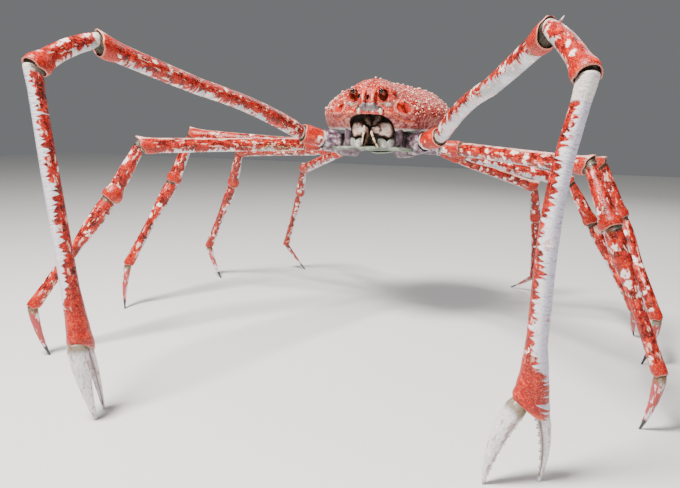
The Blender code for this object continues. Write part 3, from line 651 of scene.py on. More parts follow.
class Finger:
    """A curved tapering finger from a slanted root to a small flat on the floor."""

    def __init__(self, start, tip, plane, side, bow, base, shares, number, flatness, dark_tip):
        self.start = start
        self.tip = tip
        self.middle = (start + tip) / 2 + bow
        self.plane = plane
        self.side = side
        self.half = base / 2
        self.shares = shares
        self.number = number
        self.flatness = flatness
        self.dark_tip = dark_tip
        self.length = (tip - start).length
        self.groove_angle = None
        self.grooves = 0

    def frame(self, share):
        """Centre, tangent, across and upward at a share of the way."""
        centre = (self.start * (1 - share) ** 2 + self.middle * 2 * share * (1 - share)
                  + self.tip * share ** 2)
        tangent = ((self.middle - self.start) * (1 - share) + (self.tip - self.middle) * share).normalized()
        across = (self.side - tangent * self.side.dot(tangent)).normalized()
        return centre, tangent, across, tangent.cross(across).normalized()

    def half_at(self, share):
        return max(FOOT, self.half * width_at(self.shares, share)) if share < 1 else FOOT

    def point(self, along, angle, scale=1.0, shift=0.0):
        """A point of the shell, with its local place, zone and hollow for the material."""
        share = min(1.0, along / self.length)
        centre, tangent, across, upward = self.frame(share)
        half = self.half_at(share) * scale
        turn = Vector((math.cos(angle), math.sin(angle)))
        dip = 0.0
        if self.groove_angle is not None and 0.05 < share < 0.93:
            for sign in (-1, 1):
                away = math.remainder(angle - self.groove_angle - sign * 0.55, math.tau)
                dip += 0.15 * math.exp(-(away / 0.30) ** 2)
        hollow = min(1.0, dip * 6)
        if self.grooves and 0.04 < share < 0.9:
            dip += 0.05 * (1 + math.cos(self.grooves * angle)) * blend(0.9, 0.6, share)
        half *= 1 - dip
        offset = (across * turn.x * self.flatness + upward * turn.y) * half
        if share > 0.5:
            level, weight = UP, max(0.0, 1.0 - (1.0 - share) * 9)
        else:
            level, weight = self.plane, max(0.0, 1.0 - share * 3)
        slide = -offset.dot(level) / tangent.dot(level) * weight
        if share < 0.5 and slide < 0:
            slide *= OPEN_SIDE
        local = Vector((along + 1.7 * self.number, turn.x * half, turn.y * half))
        dark = blend(1 - self.dark_tip, 1 - 0.45 * self.dark_tip, share) if self.dark_tip else 0.0
        place = centre + offset + tangent * (slide + shift)
        return within_solids(place), local, Vector((dark, along, self.length - along)), hollow

    def rows(self):
        made = []

        def add(along, scale, shift=0.0):
            made.append(lambda angle: self.point(along, angle, scale, shift))

        for shift, scale in ((-4, 0.35), (-4, 0.62), (-2.8, 0.84), (-1.2, 0.96)):
            add(0.0, scale, shift * MM)
        for index in range(FINGER_RINGS + 1):
            add(self.length * index / FINGER_RINGS, 1.0)
        return made


FINGER_SHARES = [(0.0, 0.90), (0.06, 1.06), (0.2, 1.0), (0.4, 0.82), (0.6, 0.62), (0.8, 0.40),
                 (0.93, 0.24), (1.0, 0.2)]
FIXED_SHARES = [(0.0, 1.0), (0.2, 0.95), (0.4, 0.80), (0.6, 0.62), (0.8, 0.42), (0.93, 0.28), (1.0, 0.2)]
SEGMENT_NAMES = ["coxa", "merus", "carpus", "propodus"]
# The arm's merus rises near the body and sags before the knee, its carpus is arched, and the
# long hand bends towards the moving finger and widens on the other side.
MERUS_RISE = {"right": 8 * MM, "left": 14 * MM}
MERUS_SAG = 4.5 * MM
CARPUS_LIFT = 2.5 * MM
CARPUS_ARCH = 6 * MM
HAND_BOW = {"right": 2 * MM, "left": 14 * MM}
PALM_SHIFT = 4.5 * MM


def palm_share(share):
    """How far the hand has widened to its palm at a share of its length."""
    return min(1.0, max(0.0, (share - 0.78) / 0.19))


def arm_bend(side, index, share):
    """How far the middle line of an arm segment lies off its chord, across and upward."""
    if index == 1 and share < 0.58:
        return 0.0, MERUS_RISE[side] * math.sin(math.pi * share / 0.58)
    if index == 1:
        return 0.0, -MERUS_SAG * math.sin(math.pi / 2 * (share - 0.58) / 0.42)
    if index == 2:
        return 0.0, CARPUS_LIFT * (1 - share) + CARPUS_ARCH * math.sin(math.pi * share)
    return HAND_BOW[side] * math.sin(math.pi * share ** 0.7) ** 2 - PALM_SHIFT * palm_share(share), 0.0


def hand_stations(length, neck, low, middle, rim):
    """Half-widths along the long hand, which swells at the palm."""
    shares = [(0.0, neck), (0.025, neck * 0.97), (0.07, low), (0.5, middle), (0.75, middle * 1.05),
              (0.86, middle * 1.18), (0.93, rim * 0.90), (0.977, rim), (1.0, rim * 0.93)]
    return [(length * share, half) for share, half in shares]


FINGER_TEETH = 22
FINGER_TOOTH = 3.0 * MM
# The zone values of clean pale shell, away from both ends and the dark tip.
CLEAN = Vector((0.0, 0.05, 0.05))


def aim(bm, verts, way, place):
    """Turn upright points along a way, and move them to a place."""
    bmesh.ops.rotate(bm, verts=verts, cent=(0, 0, 0), matrix=UP.rotation_difference(way).to_matrix())
    bmesh.ops.translate(bm, verts=verts, vec=place)


def add_finger_teeth(bm, finger, inward):
    """A row of small blunt teeth along the gripping edge of a finger."""
    spot = bm.verts.layers.float_vector["place"]
    zone = bm.verts.layers.float_vector["zone"]
    for index in range(FINGER_TEETH):
        share = 0.10 + 0.78 * index / (FINGER_TEETH - 1)
        centre, tangent, across, upward = finger.frame(share)
        edge = (inward - tangent * inward.dot(tangent)).normalized()
        half = finger.half_at(share)
        size = FINGER_TOOTH * (0.65 + 0.35 * math.sin(index * 2.1)) * (1.1 - 0.5 * share)
        made = bmesh.ops.create_cone(bm, cap_ends=True, segments=8, radius1=size * 0.85,
                                     radius2=size * 0.40, depth=size * 1.8)
        aim(bm, made["verts"], edge, centre + edge * (half * 0.94 + size * 0.3))
        for vert in made["verts"]:
            vert[spot] = vert.co
            vert[zone] = CLEAN


# The share of a coxa's length that is its first, drum-like ring.
DRUM = 0.46


def make_limb(side, pair):
    """All shell pieces and joint skins of one limb."""
    joints = limb_joints(side, pair)
    coxa_width, merus, carpus, propodus, tip_width = WIDTHS[pair]
    stem = "cheliped_" + side if pair == 1 else "leg%d_%s" % (pair, side)
    ways = [(b - a).normalized() for a, b in zip(joints, joints[1:])]
    planes = [ways[0]] + [(a + b).normalized() for a, b in zip(ways, ways[1:])] + [ways[-1]]
    hinge = ways[1].cross(ways[3]).normalized()
    half = coxa_width / 2 * MM
    coxa_length = (joints[1] - joints[0]).length
    stations = [[(0.0, half * 0.76), (coxa_length * 0.08, half * 0.80), (coxa_length * 0.17, half * 0.84),
                 (coxa_length * 0.42, half * 0.90), (coxa_length * 0.54, half * 0.84)]]
    for index, widths in enumerate((merus, carpus, propodus), start=1):
        length = (joints[index + 1] - joints[index]).length
        make_stations = hand_stations if pair == 1 and index == 3 else segment_stations
        stations.append(make_stations(length, *[width / 2 * MM for width in widths]))
    medial = Vector((-1 if side == "left" else 1, 0.15, 0.1))
    number = pair * 2 + (side == "left")
    segments = []
    for index in range(4):
        upward = ways[index].cross(hinge).normalized()
        if upward.dot(UP) < 0 and index < 2:
            upward.negate()
        red_way = upward
        red_share = 0.55
        if pair > 1 and index > 1:
            red_way = (upward + Vector((0, -0.8, 0))).normalized()
            red_share = 0.35
        end_plane = planes[index + 1]
        flatness = FLATNESS
        turning = hinge
        widen = None
        if pair == 1 and index == 3:
            gape = joints[5] - (Vector(FIXED_TIPS[side]) + MIDDLE)
            gape = (gape - ways[3] * gape.dot(ways[3])).normalized()
            end_plane = (ways[3] + gape * PALM_SLANT).normalized()
            red_way = medial.normalized()
            red_share = -0.25
            flatness = 1.0
            turning = gape
            length = (joints[4] - joints[3]).length
            widen = lambda along, length=length: 1.0 + 0.40 * palm_share(along / length)
        if (side, pair, index) == ("right", 1, 1):
            red_share = 1.05
        start = joints[index]
        if index == 0:
            start = joints[0].lerp(joints[1], DRUM)
        segment = Segment(start, joints[index + 1], planes[index], end_plane, turning,
                          stations[index], number + index * 0.31, red_way, red_share, flatness, widen)
        segment.tooth = 6.0 * MM if index == 1 else 0.0
        # Each merus has a pale pink painted highlight along its top.
        segment.painted_top_highlight = index == 1
        if (side, pair, index) == ("left", 1, 3):
            segment.collar = 22 * MM
        if pair == 1:
            segment.skin_way = medial.normalized() * 0.9 if index == 3 else Vector((0, 0, -0.6))
        if pair == 1 and index > 0:
            segment.bend = lambda share, index=index: arm_bend(side, index, share)
        segments.append(segment)

    drum_stations = [(0.0, half * 0.90), (coxa_length * 0.10, half), (coxa_length * 0.36, half * 0.98),
                     (coxa_length * DRUM, half * 0.92)]
    drum = Segment(joints[0], joints[0].lerp(joints[1], DRUM), ways[0], ways[0], hinge, drum_stations,
                   number + 0.77, UP, 0.0)
    add_tube(stem + "_drum", coxa_shell, "limb_shell", drum.rows(), stem + "_coxa")
    for index, segment in enumerate(segments):
        if pair == 1 and index == 3:
            material, slot = claw_shell, "claw_shell"
        else:
            material, slot = (arm_shell if pair == 1 else leg_shell), "limb_shell"
        name = stem + "_" + SEGMENT_NAMES[index]
        add_tube(name + "_shell", material, slot, segment.rows(), name)
    for first, second in zip(segments, segments[1:]):
        add_tube("%s_skin_%d" % (stem, round(second.number * 100) % 100), skin_material, "limb_shell",
                 membrane_rows(first, second))

    if pair > 1:
        outward = ways[4].cross(hinge).normalized()
        if outward.dot(ways[3]) < 0:
            outward.negate()
        foot = Finger(joints[4], joints[5], planes[4], hinge, outward * 9 * MM, tip_width * MM,
                      FINGER_SHARES, number, FLATNESS, 0.27)
        foot.grooves = 4
        add_tube(stem + "_dactylus_shell", foot_shell, "pale_shell", foot.rows(), stem + "_dactylus",
                 sides=28)
        add_tube(stem + "_skin_foot", skin_material, "pale_shell", membrane_rows(segments[3], foot))
        return segments

    palm = segments[3]
    gape = palm.across
    fixed_tip = Vector(FIXED_TIPS[side]) + MIDDLE
    spread = (joints[5] - fixed_tip).length
    bow = gape * (0.16 * spread + 4 * MM)
    start = joints[4] + (gape - ways[3] * PALM_SLANT) * 12.5 * MM
    moving = Finger(start, joints[5], palm.end_plane, gape, bow, tip_width * MM, FINGER_SHARES,
                    number, 0.95, 0.0)
    root = joints[4] - gape * 20 * MM - ways[3] * 4 * MM
    fixed = Finger(root, fixed_tip, ways[3], gape, -bow, 21 * MM, FIXED_SHARES, number + 0.5, 0.95, 0.0)
    for finger, inward, name, solid in ((moving, -gape, "_dactylus_shell", "_dactylus"),
                                        (fixed, gape, "_fixed_finger", "_propodus")):
        finger.groove_angle = math.pi if finger is moving else 0.0
        bm = bmesh.new()
        shape_tube(bm, finger.rows(), 32)
        add_finger_teeth(bm, finger, inward)
        finish_piece(bm, stem + name, finger_shell, "claw_shell", stem + solid)
    return segments


limb_segments = {}
for pair in HIPS:
    for side in ("right", "left"):
        limb_segments[(side, pair)] = make_limb(side, pair)

# A thin spike stands at the top of the left arm's knee.
carpus = limb_segments[("left", 1)][2]
foot = carpus.point(26 * MM, math.pi / 2)[0]
spike_bm = bmesh.new()
bmesh.ops.create_cone(spike_bm, cap_ends=True, segments=16, radius1=2.6 * MM, radius2=0.5 * MM,
                      depth=15 * MM)
spike_way = (carpus.upward + carpus.tangent * 0.55).normalized()
aim(spike_bm, spike_bm.verts[:], spike_way, foot + spike_way * 5.5 * MM)
spike_zone = spike_bm.verts.layers.float_vector.new("zone")
spike_place = spike_bm.verts.layers.float_vector.new("place")
for vert in spike_bm.verts:
    vert[spike_place] = vert.co
    vert[spike_zone] = CLEAN
finish_piece(spike_bm, "knee_spike", finger_shell, "limb_shell")

# A yellowish crust of tiny growths sits on the right fourth leg, as in the photo.
crust_shell, tree = new_material("yellow brown crust", 0.7)
wander = node(tree, "TexNoise", node(tree, "TexCoord", out="Object"), 300.0, 3.0)
close_material(tree, node(tree, "ValToRGB", wander, stops=((0.35, "#5c4420"), (0.65, "#d8c08c"))))
chance = random.Random(11)
shells = []
for pair in (2, 3, 4):
    shell = bpy.data.objects["leg%d_right_merus_shell" % pair]
    shell_bm = bmesh.new()
    shell_bm.from_mesh(shell.data)
    shells.append(BVHTree.FromBMesh(shell_bm))
    shell_bm.free()
crust_bm = bmesh.new()
# The crust lies along the lower side of the leg, round this place of the picture, which is
# counted from the picture's middle.
CRUST_ACROSS = 280 - 340
CRUST_DOWN = 148.5 - 244
for index in range(190):
    across = chance.gauss(CRUST_ACROSS, 13)
    down = CRUST_DOWN + (across + 59) * 0.04 + chance.gauss(0, 2.2)
    sight = forward * FOCAL_PIXELS + camera_right * across - camera_up * down
    hits = [tree.ray_cast(CAMERA_PLACE + MIDDLE, sight.normalized()) for tree in shells]
    hits = [hit for hit in hits if hit[0] is not None]
    if hits:
        place = min(hits, key=lambda hit: hit[3])[0]
        bmesh.ops.create_icosphere(crust_bm, subdivisions=1, radius=chance.uniform(0.7, 1.7) * MM,
                                   matrix=Matrix.Translation(place))
finish_piece(crust_bm, "leg_crust", crust_shell, "limb_shell")

# Carapace
# The domed shell over the back: thick limy chitin grown in one piece, salmon red with cream
# granules. Blunt spines stand on it, and its walls turn down to a pale lower edge.

CARAPACE_HALF_LENGTH = 0.160
CARAPACE_HALF_WIDTH = 0.144
RIM_LEVEL = 0.520
TOP_HEIGHT = 0.0465
WALL_DEPTH = 0.060
UNDERSIDE = 0.484
BODY_TURN = math.radians(3.0)
# Humps of the back: x, y, height, half-width. Those off the middle line are mirrored.
HUMPS = [
    (0.0, -0.109, 0.034, 0.059),
    (0.0, 0.110, 0.012, 0.036),
    (0.060, 0.062, 0.019, 0.108),
    (0.082, -0.080, 0.010, 0.026),
    (0.046, -0.024, -0.006, 0.022),
    (0.032, 0.080, -0.005, 0.020),
]
# The eyes and orbits sit a little to the right of the shell's middle line.
EYES_SHIFT = Vector((-0.004, 0.0, 0.0))
# The orbit is a pit taller than it is wide, open to the front.
ORBIT_FLOOR = Vector((-0.0310, -0.120, 0.5600))
ORBIT_WAY = Vector((-0.10, -1.0, 0.06)).normalized()
BACK_SPINES = 105
MARGIN_SPINES = 7
MOUTH_HALF_WIDTH = 0.0505
MOUTH_HALF_HEIGHT = 0.0365
MOUTH_LEVEL = 0.4835
MOUTH_MIDDLE_Y = -0.152
MOUTH_DEPTH = 0.096
ORBIT_DEPTH = 0.060
GRANULES = 5200
GRANULE_BATCHES = 8
SPINE_SPACING = 16 * MM


def mirrored(place, side):
    """A place on the right of the crab, or its mirror place on the left."""
    return Vector((-place.x * side, place.y, place.z))


def stand_body(bm):
    """Turn a body piece as the crab holds its body, and set it over its feet."""
    turn = Matrix.Rotation(BODY_TURN, 3, "Z")
    bmesh.ops.rotate(bm, verts=bm.verts[:], cent=(0, 0, 0), matrix=turn)
    bmesh.ops.translate(bm, verts=bm.verts[:], vec=MIDDLE)


def back_hump(x, y):
    """How far the humps and grooves lift the back at a place."""
    lift = 0.0
    for at_x, at_y, height, spread in HUMPS:
        for side in ((1,) if at_x == 0 else (-1, 1)):
            away = math.hypot(x - side * at_x, y - at_y) / spread
            lift += height * math.exp(-away ** 3)
    return lift


def carapace_point(direction):
    """The shell's surface in a direction from its middle."""
    ahead = -direction.y
    power = 3.2 if ahead > 0 else 2.0
    fullness = max(0.0, 1.0 - abs(direction.y) ** power) ** (1.0 / power)
    round_part = math.sqrt(max(1e-9, 1.0 - direction.y ** 2))
    scale = fullness / round_part
    if ahead > 0:
        width = CARAPACE_HALF_WIDTH - 0.055 * ahead
    else:
        width = CARAPACE_HALF_WIDTH + 0.048 * direction.y + 0.020 * direction.y ** 2
    across = abs(direction.x) / round_part
    height = direction.z * scale
    y = direction.y * CARAPACE_HALF_LENGTH
    if height > 0:
        x = math.copysign(across ** 0.81 * fullness * width, direction.x)
        z = RIM_LEVEL + height * TOP_HEIGHT
        z += back_hump(x, y) * min(1.0, height * 1.4)
    else:
        x = math.copysign(across ** 0.35 * fullness * width, direction.x)
        z = max(RIM_LEVEL + height * WALL_DEPTH, UNDERSIDE)
        # The front slopes back under the face.
        if ahead > 0:
            y *= 1.0 - 0.25 * (RIM_LEVEL - z) / (RIM_LEVEL - UNDERSIDE)
    return Vector((x, y, z))


def body_material(name, roughness, colours, positions, scale, relief, coat=0.1, tip=None):
    """Shell or skin whose colour wanders between shades, with a fine relief and a colour laid
    towards its tip or rim: paler on the horns, and a dark painted shade round the mouth leg plates.
    """
    material, tree = new_material(name, roughness)
    place = node(tree, "TexCoord", out="Object")
    wander = node(tree, "TexNoise", place, scale, 5.0, 0.65)
    colour = node(tree, "ValToRGB", wander, stops=list(zip(positions, colours)))
    if tip:
        zone = node(tree, "Attribute", out="Vector", attribute_name="zone")
        share = node(tree, "MapRange", node(tree, "SeparateXYZ", zone), 0.60, 0.90)
        colour = paint(tree, colour, (share, tip))
    fine = node(tree, "TexNoise", place, scale * 3.5, 4.0)
    close_material(tree, colour, fine, relief, Coat_Weight=coat, Coat_Roughness=0.3)
    return material


# The back's shell: salmon pink and orange pigment in patches under a lime-rich surface, paler
# where it is worn. Close up it is pitted, so its gloss is broken into small highlights.
back_shell, tree = new_material("salmon back shell", 0.46)
place = node(tree, "TexCoord", out="Object")
zone = node(tree, "Attribute", out="Vector", attribute_name="zone")
cheek, wall, edge = node(tree, "SeparateXYZ", zone).node.outputs
cheek_rim = node(tree, "Attribute", out="Fac", attribute_name="ring")
patches, speckle, blotch = [node(tree, "TexNoise", place, *sizes)
                            for sizes in ((32.0, 3.0, 0.6), (210.0, 4.0, 0.7), (95.0, 4.0, 0.6))]
wall_colour = paint(tree, linear("#8a2c32"), (blotch, "#dc8a80", 0.40, 0.62, 1.0),
                    (speckle, "#6c1e24", 0.46, 0.38, 0.6), (speckle, "#f6d4c8", 0.56, 0.64, 0.6))
edge_colour = paint(tree, linear("#d9d3d2"), (blotch, "#f6efea", 0.35, 0.6, 1.0))
colour = paint(tree, linear("#bc2410"), (patches, "#b01000", 0.40, 0.58, 1.0),
               (blotch, "#e8684a", 0.54, 0.68, 0.55), (speckle, "#fbdcc6", 0.56, 0.64, 0.70),
               (speckle, "#5c0604", 0.47, 0.39, 0.90), (wall, wall_colour), (edge, edge_colour),
               (cheek, "#c82004", 0.0, 1.0, 0.85), (cheek_rim, "#f0a490", 0.3, 0.9, 0.40))
pitting = node(tree, "take", speckle, node(tree, "TexVoronoi", place, 420.0))
close_material(tree, colour, pitting, 2.0 * MM, Specular_IOR_Level=0.35, Coat_Weight=0.08,
               Coat_Roughness=0.3)

# Granules and spines: knobs of the same shell, worn to cream at the tip and red at the foot.
knob_shell, tree = new_material("cream tipped granules", 0.40)
lift = node(tree, "Attribute", out="Fac", attribute_name="lift")
close_material(tree, node(tree, "ValToRGB", lift, stops=((0.35, "#b81c06"), (0.98, "#fbe6cf"))))

# Near-black painted shade lines the mouth's opening, the pits by the horns, the notch and the throat box.
shade_lining = body_material("near-black painted shade lining", 0.55, ("#120d0b", "#2a1c17", "#463026"),
                           (0.3, 0.55, 0.75), 90.0, 0.0006)
orbit_skin = body_material("brown orbit lining", 0.5, ("#6a2412", "#b4502c", "#e8906a"),
                           (0.35, 0.55, 0.72), 140.0, 0.0004)


def cut_with(body, cutters):
    """Cut closed meshes from the body, and keep their materials on the cut faces."""
    for cutter in cutters:
        boolean = body.modifiers.new("cut", "BOOLEAN")
        boolean.operation = "DIFFERENCE"
        boolean.object = cutter
        boolean.solver = "EXACT"
        boolean.material_mode = "TRANSFER"
    bpy.context.view_layer.update()
    evaluated = body.evaluated_get(bpy.context.evaluated_depsgraph_get())
    cut = bpy.data.meshes.new_from_object(evaluated)
    body.modifiers.clear()
    body.data = cut
    for cutter in cutters:
        bpy.data.objects.remove(cutter, do_unlink=True)


def add_ball(bm, around, rows):
    """A unit ball with its poles at top and bottom: a grid that closes on itself.

    The order of its points is the same in each run, and the granules' places follow from it.
    """
    grid = bmesh.ops.create_grid(bm, x_segments=around, y_segments=rows, size=1.0)["verts"]
    for vert in grid:
        turn, level = vert.co.x * math.pi, vert.co.y * math.pi / 2
        vert.co = Vector((math.cos(level) * math.cos(turn), math.cos(level) * math.sin(turn),
                          math.sin(level)))
    bmesh.ops.remove_doubles(bm, verts=grid, dist=1e-6)


shell_bm = bmesh.new()
add_ball(shell_bm, 200, 120)
for vert in shell_bm.verts:
    direction = Vector((vert.co.z, vert.co.x, vert.co.y)).normalized()
    vert.co = carapace_point(direction)
bmesh.ops.remove_doubles(shell_bm, verts=shell_bm.verts[:], dist=0.02 * MM)
whole_back = BVHTree.FromBMesh(shell_bm)
back = closed_object("carapace_shell", shell_bm, back_shell)

cutters = []
# The mouth is cut as a wide rounded opening that goes down through the lower edge.
mouth_bm = bmesh.new()
bmesh.ops.create_cone(mouth_bm, cap_ends=True, segments=64, radius1=1.0, radius2=1.0, depth=MOUTH_DEPTH)
for vert in mouth_bm.verts:
    angle = math.atan2(vert.co.y, vert.co.x)
    reach = (abs(math.cos(angle)) ** 3 + abs(math.sin(angle)) ** 3) ** (-1 / 3)
    vert.co = Vector((MOUTH_HALF_WIDTH * reach * math.cos(angle), MOUTH_MIDDLE_Y + vert.co.z,
                      MOUTH_LEVEL + MOUTH_HALF_HEIGHT * reach * math.sin(angle)))
cutters.append(closed_object("mouth_cut", mouth_bm, shade_lining))
for side in (-1, 1):
    floor_place, way = mirrored(ORBIT_FLOOR, side) + EYES_SHIFT, mirrored(ORBIT_WAY, side)
    orbit_bm = bmesh.new()
    bmesh.ops.create_cone(orbit_bm, cap_ends=True, segments=40, radius1=8.5 * MM, radius2=13 * MM,
                          depth=ORBIT_DEPTH)
    turn = UP.rotation_difference(way).to_matrix()
    bmesh.ops.rotate(orbit_bm, verts=orbit_bm.verts[:], cent=(0, 0, 0), matrix=turn)
    bmesh.ops.scale(orbit_bm, verts=orbit_bm.verts[:], vec=(1, 1, 1.3))
    bmesh.ops.translate(orbit_bm, verts=orbit_bm.verts[:], vec=floor_place + way * (ORBIT_DEPTH / 2))
    cutters.append(closed_object("orbit_cut", orbit_bm, orbit_skin))
# Small pits are cut between and beside the horns and lined with near-black painted shade, which stands for
# the shadow under the horns.
for place, size in (((-0.0237, -0.1520, 0.5575), (3.8, 6.0, 6.0)),
                    ((-0.0027, -0.1555, 0.5560), (3.3, 6.5, 6.5)),
                    ((0.0125, -0.1500, 0.5660), (2.6, 4.5, 3.6))):
    pit_bm = bmesh.new()
    add_ball(pit_bm, 24, 16)
    bmesh.ops.scale(pit_bm, verts=pit_bm.verts[:], vec=Vector(size) * MM)
    bmesh.ops.translate(pit_bm, verts=pit_bm.verts[:], vec=place)
    cutters.append(closed_object("pit_cut", pit_bm, shade_lining))
cut_with(back, cutters)

shell_bm = bmesh.new()
shell_bm.from_mesh(back.data)
back_materials = list(back.data.materials)
bpy.data.objects.remove(back, do_unlink=True)
tree_of_back = BVHTree.FromBMesh(shell_bm)


def from_cheek(place):
    """Distance from the middle of a cheek's hollow, one at its raised rim."""
    beside = math.hypot(abs(place.x) - 0.0735, place.y + 0.1317) / 0.0215
    return math.hypot(beside, (place.z - 0.5345) / 0.0135)


WALL_TOP = RIM_LEVEL + 0.004
zone_layer = shell_bm.verts.layers.float_vector.new("zone")
ring_layer = shell_bm.verts.layers.float.new("ring")
for vert in shell_bm.verts:
    place = vert.co.copy()
    # An orange hollow with a pale raised rim sits on each cheek, walls are pink, and the
    # lowest edge is white.
    patch = 1.0 - blend(0.70, 1.02, from_cheek(place))
    ring = math.exp(-((from_cheek(place) - 1.10) / 0.20) ** 2)
    vert[ring_layer] = ring
    vert.co += vert.normal * (1.8 * MM * ring - 2.4 * MM * patch)
    edge = blend(0.0, 1.0, (UNDERSIDE + 0.007 - place.z) / 0.004)
    wall = min(1.0, (WALL_TOP - place.z) / 0.014) if place.z < WALL_TOP else 0.0
    vert[zone_layer] = Vector((patch, wall, edge))
shell_faces = [face for face in shell_bm.faces if face.material_index == 0 and face.calc_area() > 0]
areas = [face.calc_area() for face in shell_faces]
corners = [([vert.co.copy() for vert in face.verts[:3]], face.normal.copy()) for face in shell_faces]
stand_body(shell_bm)
shell_bm.normal_update()
back = mesh_object("carapace_shell", shell_bm, *back_materials)
dress(back, "carapace", "carapace")
back.data.set_sharp_from_angle(angle=math.radians(38))


def add_knob(bm, place, normal, radius, height, finer):
    """A rounded knob that stands half sunk in the shell."""
    turn = UP.rotation_difference(normal).to_matrix().to_4x4()
    stretch = Matrix.Diagonal((radius, radius, height, 1.0))
    made = bmesh.ops.create_icosphere(bm, subdivisions=finer, radius=1.0,
                                      matrix=Matrix.Translation(place) @ turn @ stretch)
    lift = bm.verts.layers.float["lift"]
    for vert in made["verts"]:
        vert[lift] = max(0.0, (vert.co - place).dot(normal) / height)


def free_of_face(place):
    """Outside the smooth places round the eyes, horns and mouth."""
    front = place.y < -0.128
    return not (front and abs(place.x) < 0.052 and place.z < 0.580)


def finish_body(bm, name, material, slot, *nodes):
    """Stand a body piece in place and finish it."""
    stand_body(bm)
    finish_piece(bm, name, material, slot, *nodes)


chance = random.Random(21)
for batch in range(GRANULE_BATCHES):
    knob_bm = bmesh.new()
    knob_bm.verts.layers.float.new("lift")
    picks = chance.choices(range(len(corners)), weights=areas, k=GRANULES // GRANULE_BATCHES)
    for pick in picks:
        (first, second, third), normal = corners[pick]
        share, other = chance.random(), chance.random()
        if share + other > 1:
            share, other = 1 - share, 1 - other
        place = first + (second - first) * share + (third - first) * other
        size = chance.random()
        smooth = math.exp(-(place.x / 0.05) ** 2 - ((place.y + 0.07) / 0.06) ** 2)
        if not free_of_face(place) or normal.z < -0.5 or from_cheek(place) < 1.0:
            continue
        if chance.random() < 0.55 * smooth:
            continue
        if place.z < RIM_LEVEL - 0.004 and size > 0.35:
            continue
        radius = (0.8 + 1.7 * size ** 2.0) * MM * (1 - 0.35 * smooth)
        add_knob(knob_bm, place, normal, radius, radius * (0.65 + 0.3 * size), 2 if size > 0.8 else 1)
    finish_body(knob_bm, "back_granules_%d" % batch, knob_shell, "carapace")

chance = random.Random(7)
knob_bm = bmesh.new()
knob_bm.verts.layers.float.new("lift")
taken = []
tries = 0
while len(taken) < BACK_SPINES and tries < 6000:
    tries += 1
    x = chance.uniform(-0.145, 0.145)
    y = chance.uniform(-0.150, 0.155)
    vary = chance.uniform(0.6, 1.0)
    place, normal, face, away = tree_of_back.ray_cast(Vector((x, y, 1.0)), Vector((0, 0, -1)))
    if place is None or normal.z < 0.30:
        continue
    if abs(x) < 0.055 and y < -0.118:
        continue
    if any((place - other).length < SPINE_SPACING for other in taken):
        continue
    taken.append(place)
    crest = math.exp(-(abs(x) / 0.02) ** 2) + math.exp(-((abs(x) - 0.075) / 0.03) ** 2)
    height = (2.6 + 2.6 * min(1.0, crest) * vary) * MM
    lean = (normal + Vector((0, -0.15, 0))).normalized()
    add_knob(knob_bm, place, lean, 3.4 * MM, height, 2)
for side in (-1, 1):
    for index in range(MARGIN_SPINES):
        y = -0.105 + 0.235 * index / (MARGIN_SPINES - 1)
        place, normal, face, away = tree_of_back.ray_cast(
            Vector((side * 0.4, y, RIM_LEVEL + 0.012)), Vector((-side, 0, 0)))
        if place is None:
            continue
        lean = (normal + Vector((0, -0.25, 0.35))).normalized()
        add_knob(knob_bm, place, lean, 3.6 * MM, 6.0 * MM, 2)
finish_body(knob_bm, "back_spines", knob_shell, "carapace")

# Face
# Two blunt horns, the rims round the eyes, the plate over the mouth and the cheek swellings:
# all thickenings of the same grown shell, smoother and paler than the back.


def bent_rows(start, bend, tip, halves, side, flat, number=0.0):
    """Row functions of a curved rounded bar whose half-width follows stations."""
    def row(share):
        def at(angle):
            centre = start * (1 - share) ** 2 + bend * 2 * share * (1 - share) + tip * share ** 2
            tangent = ((bend - start) * (1 - share) + (tip - bend) * share).normalized()
            across = (side - tangent * side.dot(tangent)).normalized()
            upward = tangent.cross(across)
            half = width_at(halves, share)
            offset = across * math.cos(angle) * half * flat + upward * math.sin(angle) * half
            return centre + offset, centre + offset, Vector((share, math.sin(angle), number)), 0.0
        return at
    return [row(index / 23) for index in range(24)]


def add_bar(name, material, slot, start, bend, tip, halves, side=Vector((1, 0, 0)), flat=1.0, nodes=()):
    """A curved rounded bar of the body as a piece of its own, with half-widths in millimetres."""
    bm = bmesh.new()
    halves = [(share, half * MM) for share, half in halves]
    shape_tube(bm, bent_rows(start, bend, tip, halves, side, flat), 20)
    finish_body(bm, name, material, slot, *nodes)


def on_front(x, z, out):
    """The place on the uncut shell straight behind a point of the front, moved out a little."""
    place, normal, face, away = whole_back.ray_cast(Vector((x, -0.5, z)), Vector((0, 1, 0)))
    return place + normal * out


def add_plate(name, material, slot, corner_list, origin, right, up, thickness, dome, fullness=0.55, nodes=()):
    """A domed plate whose outline follows corners given as right and up distances."""
    bm = bmesh.new()
    middle = Vector((sum(corner[0] for corner in corner_list) / len(corner_list),
                     sum(corner[1] for corner in corner_list) / len(corner_list)))
    spokes = sorted((math.atan2(corner[1] - middle.y, corner[0] - middle.x),
                     math.hypot(corner[0] - middle.x, corner[1] - middle.y)) for corner in corner_list)
    spokes = [(spokes[-1][0] - math.tau, spokes[-1][1])] + spokes + [(spokes[0][0] + math.tau, spokes[0][1])]
    zone = bm.verts.layers.float_vector.new("zone")
    add_ball(bm, 48, 24)
    normal = right.cross(up).normalized()
    for vert in bm.verts:
        angle = math.atan2(vert.co.y, vert.co.x)
        full = min(1.0, math.hypot(vert.co.x, vert.co.y)) ** fullness
        reach = width_at(spokes, angle) * full
        vert[zone] = Vector((full if vert.co.z > 0 else 1.0, 0, 0))
        lift = vert.co.z * thickness + dome * (1 - full ** 2)
        vert.co = (origin + right * (middle.x + math.cos(angle) * reach)
                   + up * (middle.y + math.sin(angle) * reach) + normal * lift)
    finish_body(bm, name, material, slot, *nodes)


